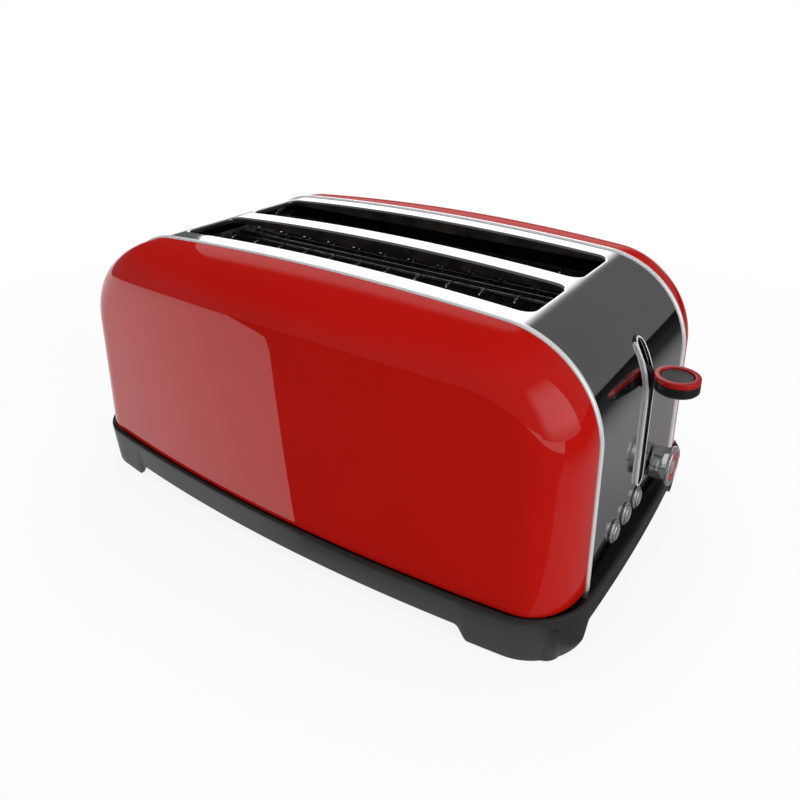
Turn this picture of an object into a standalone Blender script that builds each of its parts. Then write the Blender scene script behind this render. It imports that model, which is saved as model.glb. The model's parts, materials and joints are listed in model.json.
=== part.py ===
"""Pop up toaster with two long slots: a bright centre wrap between two deep red covers on a dark plinth.

Metres, +Z up, floor at z = 0, +X towards the end that carries the lever and the dial, -Y the front.
Every piece is modelled in the toaster's own frame, whose x = 0 is the middle of the wrap. The empty
"toaster" then shifts the whole so that the world origin is the middle of the outer box.
"""
import math

import bmesh
import bpy
from mathutils import Matrix, Vector

MM = 0.001
GAP = 0.3 * MM                    # between pieces that rest on each other

# ---- Centre wrap: one bright strip that is both ends and the top
BODY_LENGTH = 350 * MM
BODY_HEIGHT = 166 * MM            # floor to the top of the wrap at mid-length
WRAP_WIDTH = 134 * MM
WRAP_SHEET = 0.8 * MM
SHOULDER_RADIUS = 56 * MM
CROWN_RADIUS = 1900 * MM          # the top is very slightly domed along its length

# ---- Bread slots
SLOT_END_MARGIN = 47 * MM         # from the end of the wrap to the end of a slot
SLOT_WIDTH = 46 * MM
SLOT_INNER_EDGE = 8 * MM          # from the middle plane to the near edge of each slot
SLOT_CORNER = 7 * MM
COLLAR_DEPTH = 8 * MM             # how far the turned-in lip of a slot reaches down

# ---- Front and rear covers, and the chrome strips between them and the wrap
TRIM_WIDTH = 3.9 * MM
TRIM_PROUD = 1.0 * MM
TRIM_DEPTH = 3.0 * MM
COVER_DEPTH = 32.6 * MM           # from the trim to the flat of the cover, at its ends
COVER_BOW = 13.5 * MM             # extra depth at mid-length
COVER_EDGE = 25 * MM              # how far the rounded edge eats into the outline
COVER_FULLNESS = 2.3              # exponent of the rounded edge: 2 is an ellipse, more is squarer
COVER_SHEET = 0.8 * MM

# ---- Plinth
PLINTH_END_LEDGE = 7 * MM         # how far the rim stands out from the wrap's ends
PLINTH_SIDE_LEDGE = 2.9 * MM      # how far the rim stands out from the covers
PLINTH_END_BOW = 4 * MM           # how far the end walls curve back towards the corners
PLINTH_CORNER = 30 * MM
PLINTH_DRAFT = math.radians(5)
RIM_HEIGHT = 28 * MM
RIM_WALL = 2.4 * MM
DECK_TOP = 22 * MM
DECK_SHEET = 2.5 * MM
SKIRT_BOTTOM = 9 * MM             # underside of the skirt between the feet
FOOT_LENGTH = 52.4 * MM           # of a foot along the front, from the plinth's end
FOOT_WIDTH = 31 * MM              # of a foot along the end, from the plinth's side
FOOT_SLANT = 7 * MM
FOOT_BLOCK = 34 * MM              # solid corner behind each foot, measured in from the plinth's end
PAD_RADIUS = 7 * MM
PAD_HEIGHT = 3 * MM
PAD_PROUD = 0.8 * MM

# ---- Underside: bottom plate, its screws, the crumb tray and the cord inlet
PLATE_SHEET = 1 * MM
PLATE_BOTTOM = 10 * MM
SCREW_HEAD_RADIUS = 3.5 * MM
SCREW_SHANK_RADIUS = 1.6 * MM
BOSS_RADIUS = 4.5 * MM
TRAY_WIDTH = 126 * MM
TRAY_WALL = 0.9 * MM
TRAY_HEIGHT = 5 * MM
GLAND_FROM_END = 75 * MM          # from the wrap's left end to the cord inlet
GLAND_BORE = 2.6 * MM
GLAND_RADIUS = 4 * MM
GLAND_FLANGE = 5.4 * MM

# ---- Oven: chassis plates, heater boards, bread guides
CHASSIS_INSET = 38 * MM           # from the end of the wrap to the outer face of a chassis plate
CHASSIS_SHEET = 1 * MM
BOARD_SHEET = 1 * MM
RIBBON_SHEET = 0.5 * MM
RIBBON_WIDTH = 3 * MM
RIBBON_RUNS = 6
SHIELD_SHEET = 0.6 * MM
GUIDE_WIRE = 1.6 * MM
GUIDE_BARS = 12
GUIDE_BOTTOM = 30 * MM

# ---- Carriage
RACK_HEIGHT = 92 * MM             # floor to the bread rack with the lever up
RACK_WIDTH = 30 * MM
RACK_ARM_WIDTH = 6 * MM
CARRIAGE_DOWN = 55 * MM
CARRIAGE_LIFT = 10 * MM           # extra upward travel for small slices
BRACKET_SHEET = 1.5 * MM
TONGUE_SHEET = 1.6 * MM           # the bracket's tongue inside the lever handle
TONGUE_HEIGHT = 8 * MM
ROD_RADIUS = 2.5 * MM
ROD_Y = -14 * MM
SPRING_Y = 12 * MM
SPRING_RADIUS = 3 * MM
SPRING_WIRE = 0.5 * MM
SPRING_TURNS = 9

# ---- Lever
LEVER_SLOT_WIDTH = 8 * MM
LEVER_SLOT_BOTTOM = 51 * MM
LEVER_SLOT_TOP = 138 * MM
LEVER_BEZEL_WIDTH = 1.4 * MM
LEVER_BEZEL_PROUD = 2.0 * MM
LEVER_ARM_THICKNESS = 4.4 * MM
LEVER_ARM_BOTTOM = 108 * MM
LEVER_ARM_HEIGHT = 16 * MM
KNOB_RADIUS = 12 * MM
KNOB_STANDOFF = 2.0 * MM          # from the wrap to the nearest point of the knob
KNOB_BOTTOM = 113.5 * MM
KNOB_BODY_HEIGHT = 6 * MM
KNOB_RING_HEIGHT = 2.9 * MM
KNOB_PAD_RADIUS = 8.3 * MM
KNOB_PAD_HEIGHT = 2.3 * MM

# ---- Dial
DIAL_Y = 28.6 * MM
DIAL_Z = 50.3 * MM
DIAL_RADIUS = 9.8 * MM
DIAL_FLANGE_RADIUS = 11.8 * MM
DIAL_STANDOFF = 1 * MM
DIAL_LENGTH = 11.5 * MM
DIAL_RECESS = 3 * MM
DIAL_RING_WIDTH = 4 * MM
DIAL_SHAFT_RADIUS = 2.9 * MM
POT_RADIUS = 8 * MM
POT_LENGTH = 7.5 * MM

# ---- Push buttons and the board behind them
BUTTON_RADIUS = 4.8 * MM
BUTTON_PITCH = 18 * MM
BUTTON_ROW_Y = -18.5 * MM         # the middle button
BUTTON_Z = 41.5 * MM
BUTTON_PROUD = 2.8 * MM
BUTTON_TRAVEL = 2 * MM
BUTTON_BEZEL = 1.2 * MM
BOARD_FACE = 11.4 * MM            # from the wrap's end to the face of the control board
CONTROL_BOARD_SHEET = 1.6 * MM

# ---- Electromagnet that holds the carriage down
MAGNET_Y = 25 * MM
CORE_SIDE = 6 * MM
COIL_SIDE = 11 * MM
COIL_HEIGHT = 12 * MM
ARMATURE_SIDE = 11 * MM
ARMATURE_SHEET = 2.5 * MM

# ---- Values worked out from the above
HALF_LENGTH = BODY_LENGTH / 2
HALF_WRAP = WRAP_WIDTH / 2
SHOULDER_X = HALF_LENGTH - SHOULDER_RADIUS
SHOULDER_Z = (BODY_HEIGHT - CROWN_RADIUS
              + math.sqrt((CROWN_RADIUS - SHOULDER_RADIUS) ** 2 - SHOULDER_X ** 2))
CROWN_ANGLE = math.asin(SHOULDER_X / (CROWN_RADIUS - SHOULDER_RADIUS))
SLOT_HALF_LENGTH = HALF_LENGTH - SLOT_END_MARGIN
SLOT_MIDDLE = SLOT_INNER_EDGE + SLOT_WIDTH / 2
SLOT_OUTER_EDGE = SLOT_INNER_EDGE + SLOT_WIDTH
TRIM_START = HALF_WRAP + GAP
COVER_START = TRIM_START + TRIM_WIDTH + GAP
RIM_HALF_LENGTH = HALF_LENGTH + PLINTH_END_LEDGE
RIM_HALF_WIDTH = COVER_START + COVER_DEPTH + PLINTH_SIDE_LEDGE
FOOT_HALF_SPAN_X = RIM_HALF_LENGTH - FOOT_LENGTH
FOOT_HALF_SPAN_Y = RIM_HALF_WIDTH - FOOT_WIDTH
GLAND_X = GLAND_FROM_END - HALF_LENGTH
DRAFT_IN = (RIM_HEIGHT - PAD_PROUD) * math.tan(PLINTH_DRAFT)
CHASSIS_X = HALF_LENGTH - CHASSIS_INSET
OVEN_HALF_LENGTH = CHASSIS_X - CHASSIS_SHEET - 2 * GAP
GUIDE_HALF_LENGTH = SLOT_HALF_LENGTH - 2 * MM
GUIDE_TOP = BODY_HEIGHT - COLLAR_DEPTH - 7 * MM
GUIDE_INNER_Y = SLOT_INNER_EDGE + 0.4 * MM + GUIDE_WIRE / 2
GUIDE_OUTER_Y = SLOT_OUTER_EDGE - 0.4 * MM - GUIDE_WIRE / 2
BOARD_INNER_Y = SLOT_INNER_EDGE / 2
BOARD_OUTER_Y = SLOT_OUTER_EDGE + 4.5 * MM
SHIELD_Y = BOARD_OUTER_Y + BOARD_SHEET / 2 + 2 * MM
CHASSIS_HALF_WIDTH = SHIELD_Y + SHIELD_SHEET + 1 * MM
OVEN_BOTTOM = DECK_TOP + 5 * MM
OVEN_TOP = GUIDE_TOP - 3 * MM
BRACKET_X = CHASSIS_X + 10.3 * MM
BRACKET_BOTTOM = RACK_HEIGHT - 4 * MM
BRACKET_TOP = BRACKET_BOTTOM + 34 * MM
ROD_X = BRACKET_X + 7 * MM
LEVER_X = HALF_LENGTH + KNOB_STANDOFF + KNOB_RADIUS
KNOB_TOP = KNOB_BOTTOM + KNOB_BODY_HEIGHT + GAP + KNOB_RING_HEIGHT
DIAL_START = HALF_LENGTH + DIAL_STANDOFF
DIAL_END = DIAL_START + DIAL_LENGTH
BOARD_X = HALF_LENGTH - BOARD_FACE
MAGNET_X = BOARD_X - CONTROL_BOARD_SHEET - COIL_SIDE / 2 - 1.2 * MM
ARMATURE_Z = RACK_HEIGHT + 5 * MM
MAGNET_TOP = ARMATURE_Z - CARRIAGE_DOWN - GAP
SCREW_X = FOOT_HALF_SPAN_X - 12 * MM
SCREW_Y = TRAY_WIDTH / 2 + 17 * MM
BODY_OFFSET = (RIM_HALF_LENGTH - (LEVER_X + KNOB_RADIUS)) / 2

FINISHES = {
    "mirror_steel": ((0.80, 0.81, 0.82, 1), 0.08, 1.0),
    "red_paint": ((0.52, 0.012, 0.006, 1), 0.12, 0.0),
    "chrome": ((0.86, 0.87, 0.88, 1), 0.05, 1.0),
    "dark_plastic": ((0.025, 0.026, 0.028, 1), 0.42, 0.0),
    "black_plastic": ((0.012, 0.012, 0.013, 1), 0.35, 0.0),
    "red_plastic": ((0.45, 0.012, 0.010, 1), 0.20, 0.0),
    "zinc_steel": ((0.55, 0.56, 0.57, 1), 0.38, 1.0),
    "mica": ((0.60, 0.52, 0.38, 1), 0.55, 0.0),
    "heater_wire": ((0.38, 0.34, 0.31, 1), 0.45, 1.0),
    "rubber": ((0.03, 0.03, 0.03, 1), 0.85, 0.0),
    "green_board": ((0.02, 0.16, 0.07, 1), 0.45, 0.0),
    "copper": ((0.72, 0.33, 0.16, 1), 0.35, 1.0),
}


# ---- Modelling helpers
def finish(name):
    """The named finish as a Principled material, made the first time it is asked for."""
    material = bpy.data.materials.get(name)
    if material is None:
        colour, roughness, metallic = FINISHES[name]
        material = bpy.data.materials.new(name)
        material.use_nodes = True
        shader = material.node_tree.nodes["Principled BSDF"]
        shader.inputs["Base Color"].default_value = colour
        shader.inputs["Roughness"].default_value = roughness
        shader.inputs["Metallic"].default_value = metallic
        material.diffuse_color = colour
    return material


def from_bmesh(name, bm):
    """A new object in the scene from bm, with its faces pointing out."""
    bmesh.ops.recalc_face_normals(bm, faces=bm.faces[:])
    mesh = bpy.data.meshes.new(name)
    bm.to_mesh(mesh)
    bm.free()
    piece = bpy.data.objects.new(name, mesh)
    bpy.context.scene.collection.objects.link(piece)
    return piece


def facing(axis):
    """The function that turns a flat point (a, b) at height h along axis into (x, y, z)."""
    if axis == "X":
        return lambda a, b, h: (h, a, b)
    if axis == "Y":
        return lambda a, b, h: (a, h, b)
    return lambda a, b, h: (a, b, h)


def prism(name, outline, low, high, axis="Z"):
    """outline extruded from low to high. It holds (x, y) for axis Z, (y, z) for X and (x, z) for Y."""
    place = facing(axis)
    bm = bmesh.new()
    face = bm.faces.new([bm.verts.new(place(a, b, low)) for a, b in outline])
    top = bmesh.ops.extrude_face_region(bm, geom=[face])["geom"]
    shift = Vector(place(0, 0, high - low))
    bmesh.ops.translate(bm, verts=[v for v in top if isinstance(v, bmesh.types.BMVert)], vec=shift)
    return from_bmesh(name, bm)


def box(name, low, high):
    """A box between two opposite corners."""
    outline = [(low[0], low[1]), (high[0], low[1]), (high[0], high[1]), (low[0], high[1])]
    return prism(name, outline, low[2], high[2])


def circle(centre, radius, steps=24):
    return [(centre[0] + radius * math.cos(2 * math.pi * i / steps),
             centre[1] + radius * math.sin(2 * math.pi * i / steps)) for i in range(steps)]


def racetrack(low, high, radius, steps=4):
    """A rectangle between two corners with rounded corners."""
    centres = [(high[0] - radius, high[1] - radius), (low[0] + radius, high[1] - radius),
               (low[0] + radius, low[1] + radius), (high[0] - radius, low[1] + radius)]
    points = []
    for quarter, (x, y) in enumerate(centres):
        for i in range(steps + 1):
            angle = math.pi / 2 * (quarter + i / steps)
            points.append((x + radius * math.cos(angle), y + radius * math.sin(angle)))
    return points


def turned(name, profile, centre, axis="Z", steps=32):
    """A closed profile of (radius, height) points turned about an axis through centre."""
    bm = bmesh.new()
    ring = [bm.verts.new((r, 0, h)) for r, h in profile]
    edges = [bm.edges.new((a, b)) for a, b in zip(ring, ring[1:] + ring[:1])]
    bmesh.ops.spin(bm, geom=ring + edges, cent=(0, 0, 0), axis=(0, 0, 1), angle=2 * math.pi, steps=steps)
    bmesh.ops.remove_doubles(bm, verts=bm.verts[:], dist=1e-6)
    turn = Matrix()
    if axis == "X":
        turn = Matrix.Rotation(math.pi / 2, 4, "Y")
    elif axis == "Y":
        turn = Matrix.Rotation(-math.pi / 2, 4, "X")
    bmesh.ops.transform(bm, matrix=Matrix.Translation(centre) @ turn, verts=bm.verts[:])
    piece = from_bmesh(name, bm)
    piece.data.shade_smooth()
    piece.data.set_sharp_from_angle(angle=math.radians(35))
    return piece


def washer(name, outer, inner, low, high, centre, axis="Z", steps=32):
    """A plain ring, or a solid disc where inner is 0."""
    return turned(name, [(inner, low), (outer, low), (outer, high), (inner, high)], centre, axis, steps)


def lattice(name, us, vs, solid, low, high, axis="Z"):
    """A flat plate with square holes: cell i, j of the grid us by vs is filled where solid(i, j)."""
    place = facing(axis)
    bm = bmesh.new()
    corners = {}

    def corner(i, j):
        if (i, j) not in corners:
            corners[i, j] = bm.verts.new(place(us[i], vs[j], low))
        return corners[i, j]

    for i in range(len(us) - 1):
        for j in range(len(vs) - 1):
            if solid(i, j):
                bm.faces.new([corner(i, j), corner(i + 1, j), corner(i + 1, j + 1), corner(i, j + 1)])
    top = bmesh.ops.extrude_face_region(bm, geom=bm.faces[:], use_keep_orig=True)["geom"]
    shift = Vector(place(0, 0, high - low))
    bmesh.ops.translate(bm, verts=[v for v in top if isinstance(v, bmesh.types.BMVert)], vec=shift)
    return from_bmesh(name, bm)


def applied(piece):
    """Puts the result of the piece's modifiers in place of its mesh."""
    shaped = piece.evaluated_get(bpy.context.evaluated_depsgraph_get())
    mesh = bpy.data.meshes.new_from_object(shaped)
    piece.modifiers.clear()
    piece.data = mesh
    return piece


def combine(piece, operation, *tools):
    """Joins, cuts or intersects the piece with each tool in turn, and removes the tools."""
    for tool in tools:
        modifier = piece.modifiers.new(operation.title(), "BOOLEAN")
        modifier.operation = operation
        modifier.solver = "EXACT"
        modifier.object = tool
        applied(piece)
        bpy.data.objects.remove(tool)
    return piece


# ---- The toaster's outlines
def body_profile(inset=0.0, bottom=0.0, crown_steps=6, shoulder_steps=8):
    """(x, z) points of the wrap's outline, moved in by inset: up the left end, over, down the right."""
    half = []
    for i in range(crown_steps // 2):
        half.append((CROWN_ANGLE * i / (crown_steps // 2), 0.0, BODY_HEIGHT - CROWN_RADIUS, CROWN_RADIUS))
    for i in range(shoulder_steps + 1):
        angle = CROWN_ANGLE + (math.pi / 2 - CROWN_ANGLE) * i / shoulder_steps
        half.append((angle, SHOULDER_X, SHOULDER_Z, SHOULDER_RADIUS))
    right = [(x + (r - inset) * math.sin(a), z + (r - inset) * math.cos(a)) for a, x, z, r in half]
    right.append((right[-1][0], bottom))
    left = [(-x, z) for x, z in reversed(right[1:])]
    return left + right


def profile_sheet(name, inset, bottom, near, far, thickness):
    """A strip between y = near and y = far that follows the body's outline, thickened inwards."""
    bm = bmesh.new()
    rows = [[bm.verts.new((x, y, z)) for x, z in body_profile(inset, bottom)] for y in (near, far)]
    for i in range(len(rows[0]) - 1):
        bm.faces.new([rows[0][i], rows[0][i + 1], rows[1][i + 1], rows[1][i]])
    piece = from_bmesh(name, bm)
    return thicken(piece, thickness, Vector((0, 0, 1)))


def thicken(piece, thickness, outward):
    """Solidifies a sheet to its inner side. outward is the way that its first upward face must look."""
    highest = max(piece.data.polygons, key=lambda face: face.center.dot(outward))
    if highest.normal.dot(outward) < 0:
        piece.data.flip_normals()
    modifier = piece.modifiers.new("Sheet", "SOLIDIFY")
    modifier.thickness = thickness
    modifier.offset = -1
    modifier.use_even_offset = True
    applied(piece)
    piece.data.shade_smooth()
    piece.data.set_sharp_from_angle(angle=math.radians(35))
    return piece


def plan_outline(inset, corner_steps=5, long_steps=10, end_steps=4):
    """(x, y) of the plinth's bowed, rounded outline, moved in by inset.

    A rounded rectangle, whose sides are then bowed out by COVER_BOW * (1 - (x / half_length)**2)
    and whose ends are curved back by PLINTH_END_BOW * (y / half_width)**2.
    """
    half_length, half_width = RIM_HALF_LENGTH - inset, RIM_HALF_WIDTH - inset
    radius = PLINTH_CORNER - inset
    points = []
    for sign_x, sign_y in ((1, 1), (-1, 1), (-1, -1), (1, -1)):
        arc = []
        for i in range(corner_steps + 1):
            angle = math.pi / 2 * i / corner_steps
            arc.append((sign_x * (half_length - radius + radius * math.cos(angle)),
                        sign_y * (half_width - radius + radius * math.sin(angle))))
        arc = arc if sign_x * sign_y > 0 else arc[::-1]
        points += arc
        nxt = {(1, 1): (-1, 1), (-1, 1): (-1, -1), (-1, -1): (1, -1), (1, -1): (1, 1)}[sign_x, sign_y]
        if nxt[1] == sign_y:
            start, end, steps = arc[-1], (-arc[-1][0], arc[-1][1]), long_steps
        else:
            start, end, steps = arc[-1], (arc[-1][0], -arc[-1][1]), end_steps
        for i in range(1, steps):
            share = i / steps
            points.append((start[0] + (end[0] - start[0]) * share, start[1] + (end[1] - start[1]) * share))
    bowed = []
    for x, y in points:
        u, v = x / half_length, y / half_width
        bowed.append((x - PLINTH_END_BOW * v * v * u, y + COVER_BOW * (1 - u * u) * v))
    return bowed


def tapered_prism(name, low_outline, low, high_outline, high):
    """A solid between two outlines with the same number of points."""
    bm = bmesh.new()
    lower = [bm.verts.new((x, y, low)) for x, y in low_outline]
    upper = [bm.verts.new((x, y, high)) for x, y in high_outline]
    bm.faces.new(lower)
    bm.faces.new(upper)
    for i in range(len(lower)):
        j = (i + 1) % len(lower)
        bm.faces.new([lower[i], lower[j], upper[j], upper[i]])
    return from_bmesh(name, bm)


# ---- Housing
def make_wrap():
    """The centre wrap, with its two collared slots and the openings for the lever, dial and buttons."""
    wrap = profile_sheet("body_wrap", 0, DECK_TOP + GAP, -HALF_WRAP, HALF_WRAP, WRAP_SHEET)
    below = BODY_HEIGHT - COLLAR_DEPTH
    above = BODY_HEIGHT + 5 * MM
    for side in (-1, 1):
        near, far = sorted((side * SLOT_INNER_EDGE, side * SLOT_OUTER_EDGE))
        opening = racetrack((-SLOT_HALF_LENGTH, near), (SLOT_HALF_LENGTH, far), SLOT_CORNER)
        outer = racetrack((-SLOT_HALF_LENGTH - WRAP_SHEET, near - WRAP_SHEET),
                          (SLOT_HALF_LENGTH + WRAP_SHEET, far + WRAP_SHEET), SLOT_CORNER + WRAP_SHEET)
        collar = prism("collar", outer, below, above)
        core = prism("core", body_profile(WRAP_SHEET / 3, DECK_TOP), -HALF_WRAP, HALF_WRAP, "Y")
        combine(collar, "INTERSECT", core)
        combine(wrap, "UNION", collar)
        combine(wrap, "DIFFERENCE", prism("opening", opening, below - 5 * MM, above))
    half = LEVER_SLOT_WIDTH / 2
    lever_slot = racetrack((-half, LEVER_SLOT_BOTTOM), (half, LEVER_SLOT_TOP), half * 0.98)
    reach = (SHOULDER_X, HALF_LENGTH + 5 * MM)
    combine(wrap, "DIFFERENCE", prism("lever_slot", lever_slot, *reach, "X"))
    dial_hole = circle((DIAL_Y, DIAL_Z), DIAL_SHAFT_RADIUS + 1 * MM, 16)
    combine(wrap, "DIFFERENCE", prism("dial_hole", dial_hole, *reach, "X"))
    for y in button_rows():
        hole = prism("button_hole", circle((y, BUTTON_Z), BUTTON_RADIUS + 0.6 * MM, 20), *reach, "X")
        combine(wrap, "DIFFERENCE", hole)
    return wrap


def button_rows():
    return [BUTTON_ROW_Y + BUTTON_PITCH * i for i in (-1, 0, 1)]


def make_cover(name, side):
    """A drawn shell. Its outline is the body's, moved in as it rounds over to the bowed face.

    Around the edge, at angle t from 0 at the trim to 90 degrees at the face, the outline moves in by
    COVER_EDGE * (1 - cos(t)**e) and out from the trim by depth(x) * sin(t)**e, with e = 2 / COVER_FULLNESS
    and depth(x) = COVER_DEPTH + COVER_BOW * (1 - (x / HALF_LENGTH)**2).
    """
    edge_steps = 6
    power = 2 / COVER_FULLNESS
    bottom = RIM_HEIGHT + GAP

    def depth(x):
        return COVER_DEPTH + COVER_BOW * (1 - (x / HALF_LENGTH) ** 2)

    bm = bmesh.new()
    rings = []
    for step in range(edge_steps + 1):
        angle = math.pi / 2 * step / edge_steps
        inset = COVER_EDGE * (1 - max(math.cos(angle), 0) ** power)
        out = math.sin(angle) ** power
        rings.append([bm.verts.new((x, side * (COVER_START + depth(x) * out), z))
                      for x, z in body_profile(inset, bottom)])
    for inner, outer in zip(rings, rings[1:]):
        for i in range(len(inner) - 1):
            bm.faces.new([inner[i], inner[i + 1], outer[i + 1], outer[i]])
    top = rings[-1][1:-1]
    feet = [rings[-1][0]] + [bm.verts.new((v.co.x, v.co.y, bottom)) for v in top[1:-1]] + [rings[-1][-1]]
    for i in range(len(top) - 1):
        bm.faces.new([top[i], top[i + 1], feet[i + 1], feet[i]])
    return thicken(from_bmesh(name, bm), COVER_SHEET, Vector((0, side, 0)))


def make_trim(name, side):
    """The bright strip that closes the joint between the wrap and a cover."""
    near, far = sorted((side * TRIM_START, side * (TRIM_START + TRIM_WIDTH)))
    return profile_sheet(name, -TRIM_PROUD, DECK_TOP + GAP, near, far, TRIM_DEPTH)


def make_plinth():
    """The base: a drafted skirt with a rim, a deck with an opening over the tray, and four corner feet."""
    reach = 2 * RIM_HALF_LENGTH
    plinth = tapered_prism("base_plinth", plan_outline(DRAFT_IN), PAD_PROUD, plan_outline(0), RIM_HEIGHT)
    combine(plinth, "DIFFERENCE", prism("recess", plan_outline(RIM_WALL), DECK_TOP, RIM_HEIGHT + 5 * MM))
    wall = RIM_WALL + DRAFT_IN
    under = DECK_TOP - DECK_SHEET
    block_x = RIM_HALF_LENGTH - FOOT_BLOCK
    block_y = FOOT_HALF_SPAN_Y + 6 * MM
    lengthways = box("cavity", (-RIM_HALF_LENGTH + wall + PLINTH_END_BOW, -block_y, -1 * MM),
                     (RIM_HALF_LENGTH - wall - PLINTH_END_BOW, block_y, under))
    across = prism("cavity", plan_outline(wall), -2 * MM, under)
    combine(across, "INTERSECT", box("span", (-block_x, -reach, -3 * MM), (block_x, reach, DECK_TOP)))
    combine(plinth, "DIFFERENCE", lengthways, across)
    opening = box("opening", (-OVEN_HALF_LENGTH + 3 * MM, -CHASSIS_HALF_WIDTH, DECK_TOP - 2 * DECK_SHEET),
                  (OVEN_HALF_LENGTH - 3 * MM, CHASSIS_HALF_WIDTH, DECK_TOP + 1 * MM))
    combine(plinth, "DIFFERENCE", opening)
    for span, axis in ((FOOT_HALF_SPAN_X, "Y"), (FOOT_HALF_SPAN_Y, "X")):
        notch = [(-span, -1 * MM), (span, -1 * MM), (span, PAD_PROUD),
                 (span - FOOT_SLANT, SKIRT_BOTTOM), (-span + FOOT_SLANT, SKIRT_BOTTOM), (-span, PAD_PROUD)]
        combine(plinth, "DIFFERENCE", prism("notch", notch, -reach, reach, axis))
    tray_half = TRAY_WIDTH / 2 + 2 * GAP
    tray_mouth = box("mouth", (-reach, -tray_half, 0),
                     (-RIM_HALF_LENGTH + 12 * MM, tray_half, tray_top() + 2 * GAP))
    combine(plinth, "DIFFERENCE", tray_mouth)
    for x, y in screw_places():
        boss = prism("boss", circle((x, y), BOSS_RADIUS, 16),
                     PLATE_BOTTOM + PLATE_SHEET + GAP, under + 0.5 * MM)
        combine(plinth, "UNION", boss)
        hole = prism("hole", circle((x, y), SCREW_SHANK_RADIUS + GAP, 12), 0, DECK_TOP - 1 * MM)
        combine(plinth, "DIFFERENCE", hole)
    for x, y in pad_places():
        seat = prism("pad_seat", circle((x, y), PAD_RADIUS + GAP, 20), 0, PAD_HEIGHT + GAP)
        combine(plinth, "DIFFERENCE", seat)
    gland = prism("gland_hole", circle((GLAND_X, gland_z()), GLAND_RADIUS + GAP, 16),
                  RIM_HALF_WIDTH - 5 * MM, reach, "Y")
    return combine(plinth, "DIFFERENCE", gland)


def pad_places():
    x, y = RIM_HALF_LENGTH - DRAFT_IN - 17 * MM, RIM_HALF_WIDTH - DRAFT_IN - 13 * MM
    return [(-x, -y), (x, -y), (-x, y), (x, y)]


def screw_places():
    return [(-SCREW_X, -SCREW_Y), (SCREW_X, -SCREW_Y), (-SCREW_X, SCREW_Y), (SCREW_X, SCREW_Y)]


def tray_top():
    return PLATE_BOTTOM + PLATE_SHEET + GAP + TRAY_HEIGHT


def gland_z():
    return (SKIRT_BOTTOM + DECK_TOP - DECK_SHEET) / 2 + 0.4 * MM


def make_base_plate():
    """The steel sheet under the plinth, with three rows of vents and holes for its screws."""
    half_x = RIM_HALF_LENGTH - FOOT_BLOCK - 2 * MM
    half_y = SCREW_Y + 10 * MM
    vent, land = 20 * MM, 12 * MM
    middles = [(i - 3.5) * (vent + land) for i in range(8)]
    xs = [-half_x] + [x + edge for x in middles for edge in (-vent / 2, vent / 2)] + [half_x]
    ys = [-half_y, -34 * MM, -30 * MM, -2 * MM, 2 * MM, 30 * MM, 34 * MM, half_y]
    plate = lattice("base_plate", xs, ys, lambda i, j: i % 2 == 0 or j % 2 == 0,
                    PLATE_BOTTOM, PLATE_BOTTOM + PLATE_SHEET)
    for x, y in screw_places():
        hole = prism("hole", circle((x, y), SCREW_SHANK_RADIUS + 2 * GAP, 12), 0, DECK_TOP)
        combine(plate, "DIFFERENCE", hole)
    return plate


def make_screw(name, x, y):
    """A pan-head screw with a plain shank, driven up into its boss."""
    top = PLATE_BOTTOM - GAP
    shank_top = DECK_TOP - DECK_SHEET - 0.5 * MM
    profile = [(0, top - 1.8 * MM), (SCREW_HEAD_RADIUS * 0.7, top - 1.8 * MM),
               (SCREW_HEAD_RADIUS, top - 0.9 * MM), (SCREW_HEAD_RADIUS, top),
               (SCREW_SHANK_RADIUS, top), (SCREW_SHANK_RADIUS, shank_top), (0, shank_top)]
    return turned(name, profile, (x, y, 0), steps=16)


def make_tray():
    """The crumb tray: a shallow pan whose front closes the mouth in the plinth's left end."""
    floor = PLATE_BOTTOM + PLATE_SHEET + GAP
    half = TRAY_WIDTH / 2
    left = -RIM_HALF_LENGTH + DRAFT_IN + 3 * MM
    right = OVEN_HALF_LENGTH
    tray = box("crumb_tray", (left, -half, floor), (right, half, floor + TRAY_HEIGHT))
    combine(tray, "DIFFERENCE", box("hollow", (left + 3 * MM, -half + TRAY_WALL, floor + TRAY_WALL),
                                    (right - TRAY_WALL, half - TRAY_WALL, floor + TRAY_HEIGHT + 5 * MM)))
    front = box("front", (left - 1.5 * MM, -half, SKIRT_BOTTOM - 2 * MM),
                (left + 1 * MM, half, floor + TRAY_HEIGHT))
    return combine(tray, "UNION", front)


def make_gland():
    """The bush where the mains cord enters the rear of the plinth."""
    wall_y = max(y for x, y in plan_outline(DRAFT_IN / 2, long_steps=40) if abs(x - GLAND_X) < 8 * MM)
    inner, outer = wall_y - 7 * MM, wall_y + 1.2 * MM
    profile = [(GLAND_BORE, inner), (GLAND_RADIUS, inner), (GLAND_RADIUS, outer),
               (GLAND_FLANGE, outer), (GLAND_FLANGE, outer + 1.2 * MM), (GLAND_BORE, outer + 1.2 * MM)]
    return turned("cord_gland", profile, (GLAND_X, 0, gland_z()), "Y", 20)


# ---- Oven
def make_chassis_plate(name, side):
    """An upright plate at one end of the oven, with a tall slot for each bread rack's arm."""
    half = RACK_ARM_WIDTH / 2 + 1 * MM
    slot_bottom = RACK_HEIGHT - CARRIAGE_DOWN - 4 * MM
    slot_top = RACK_HEIGHT + CARRIAGE_LIFT + 6 * MM
    ys = [-CHASSIS_HALF_WIDTH, -SLOT_MIDDLE - half, -SLOT_MIDDLE + half,
          SLOT_MIDDLE - half, SLOT_MIDDLE + half, CHASSIS_HALF_WIDTH]
    zs = [DECK_TOP + GAP, slot_bottom, slot_top, OVEN_TOP + 2 * MM]
    low, high = sorted((side * CHASSIS_X, side * (CHASSIS_X - CHASSIS_SHEET)))
    return lattice(name, ys, zs, lambda i, j: not (j == 1 and i in (1, 3)), low, high, "X")


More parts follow.
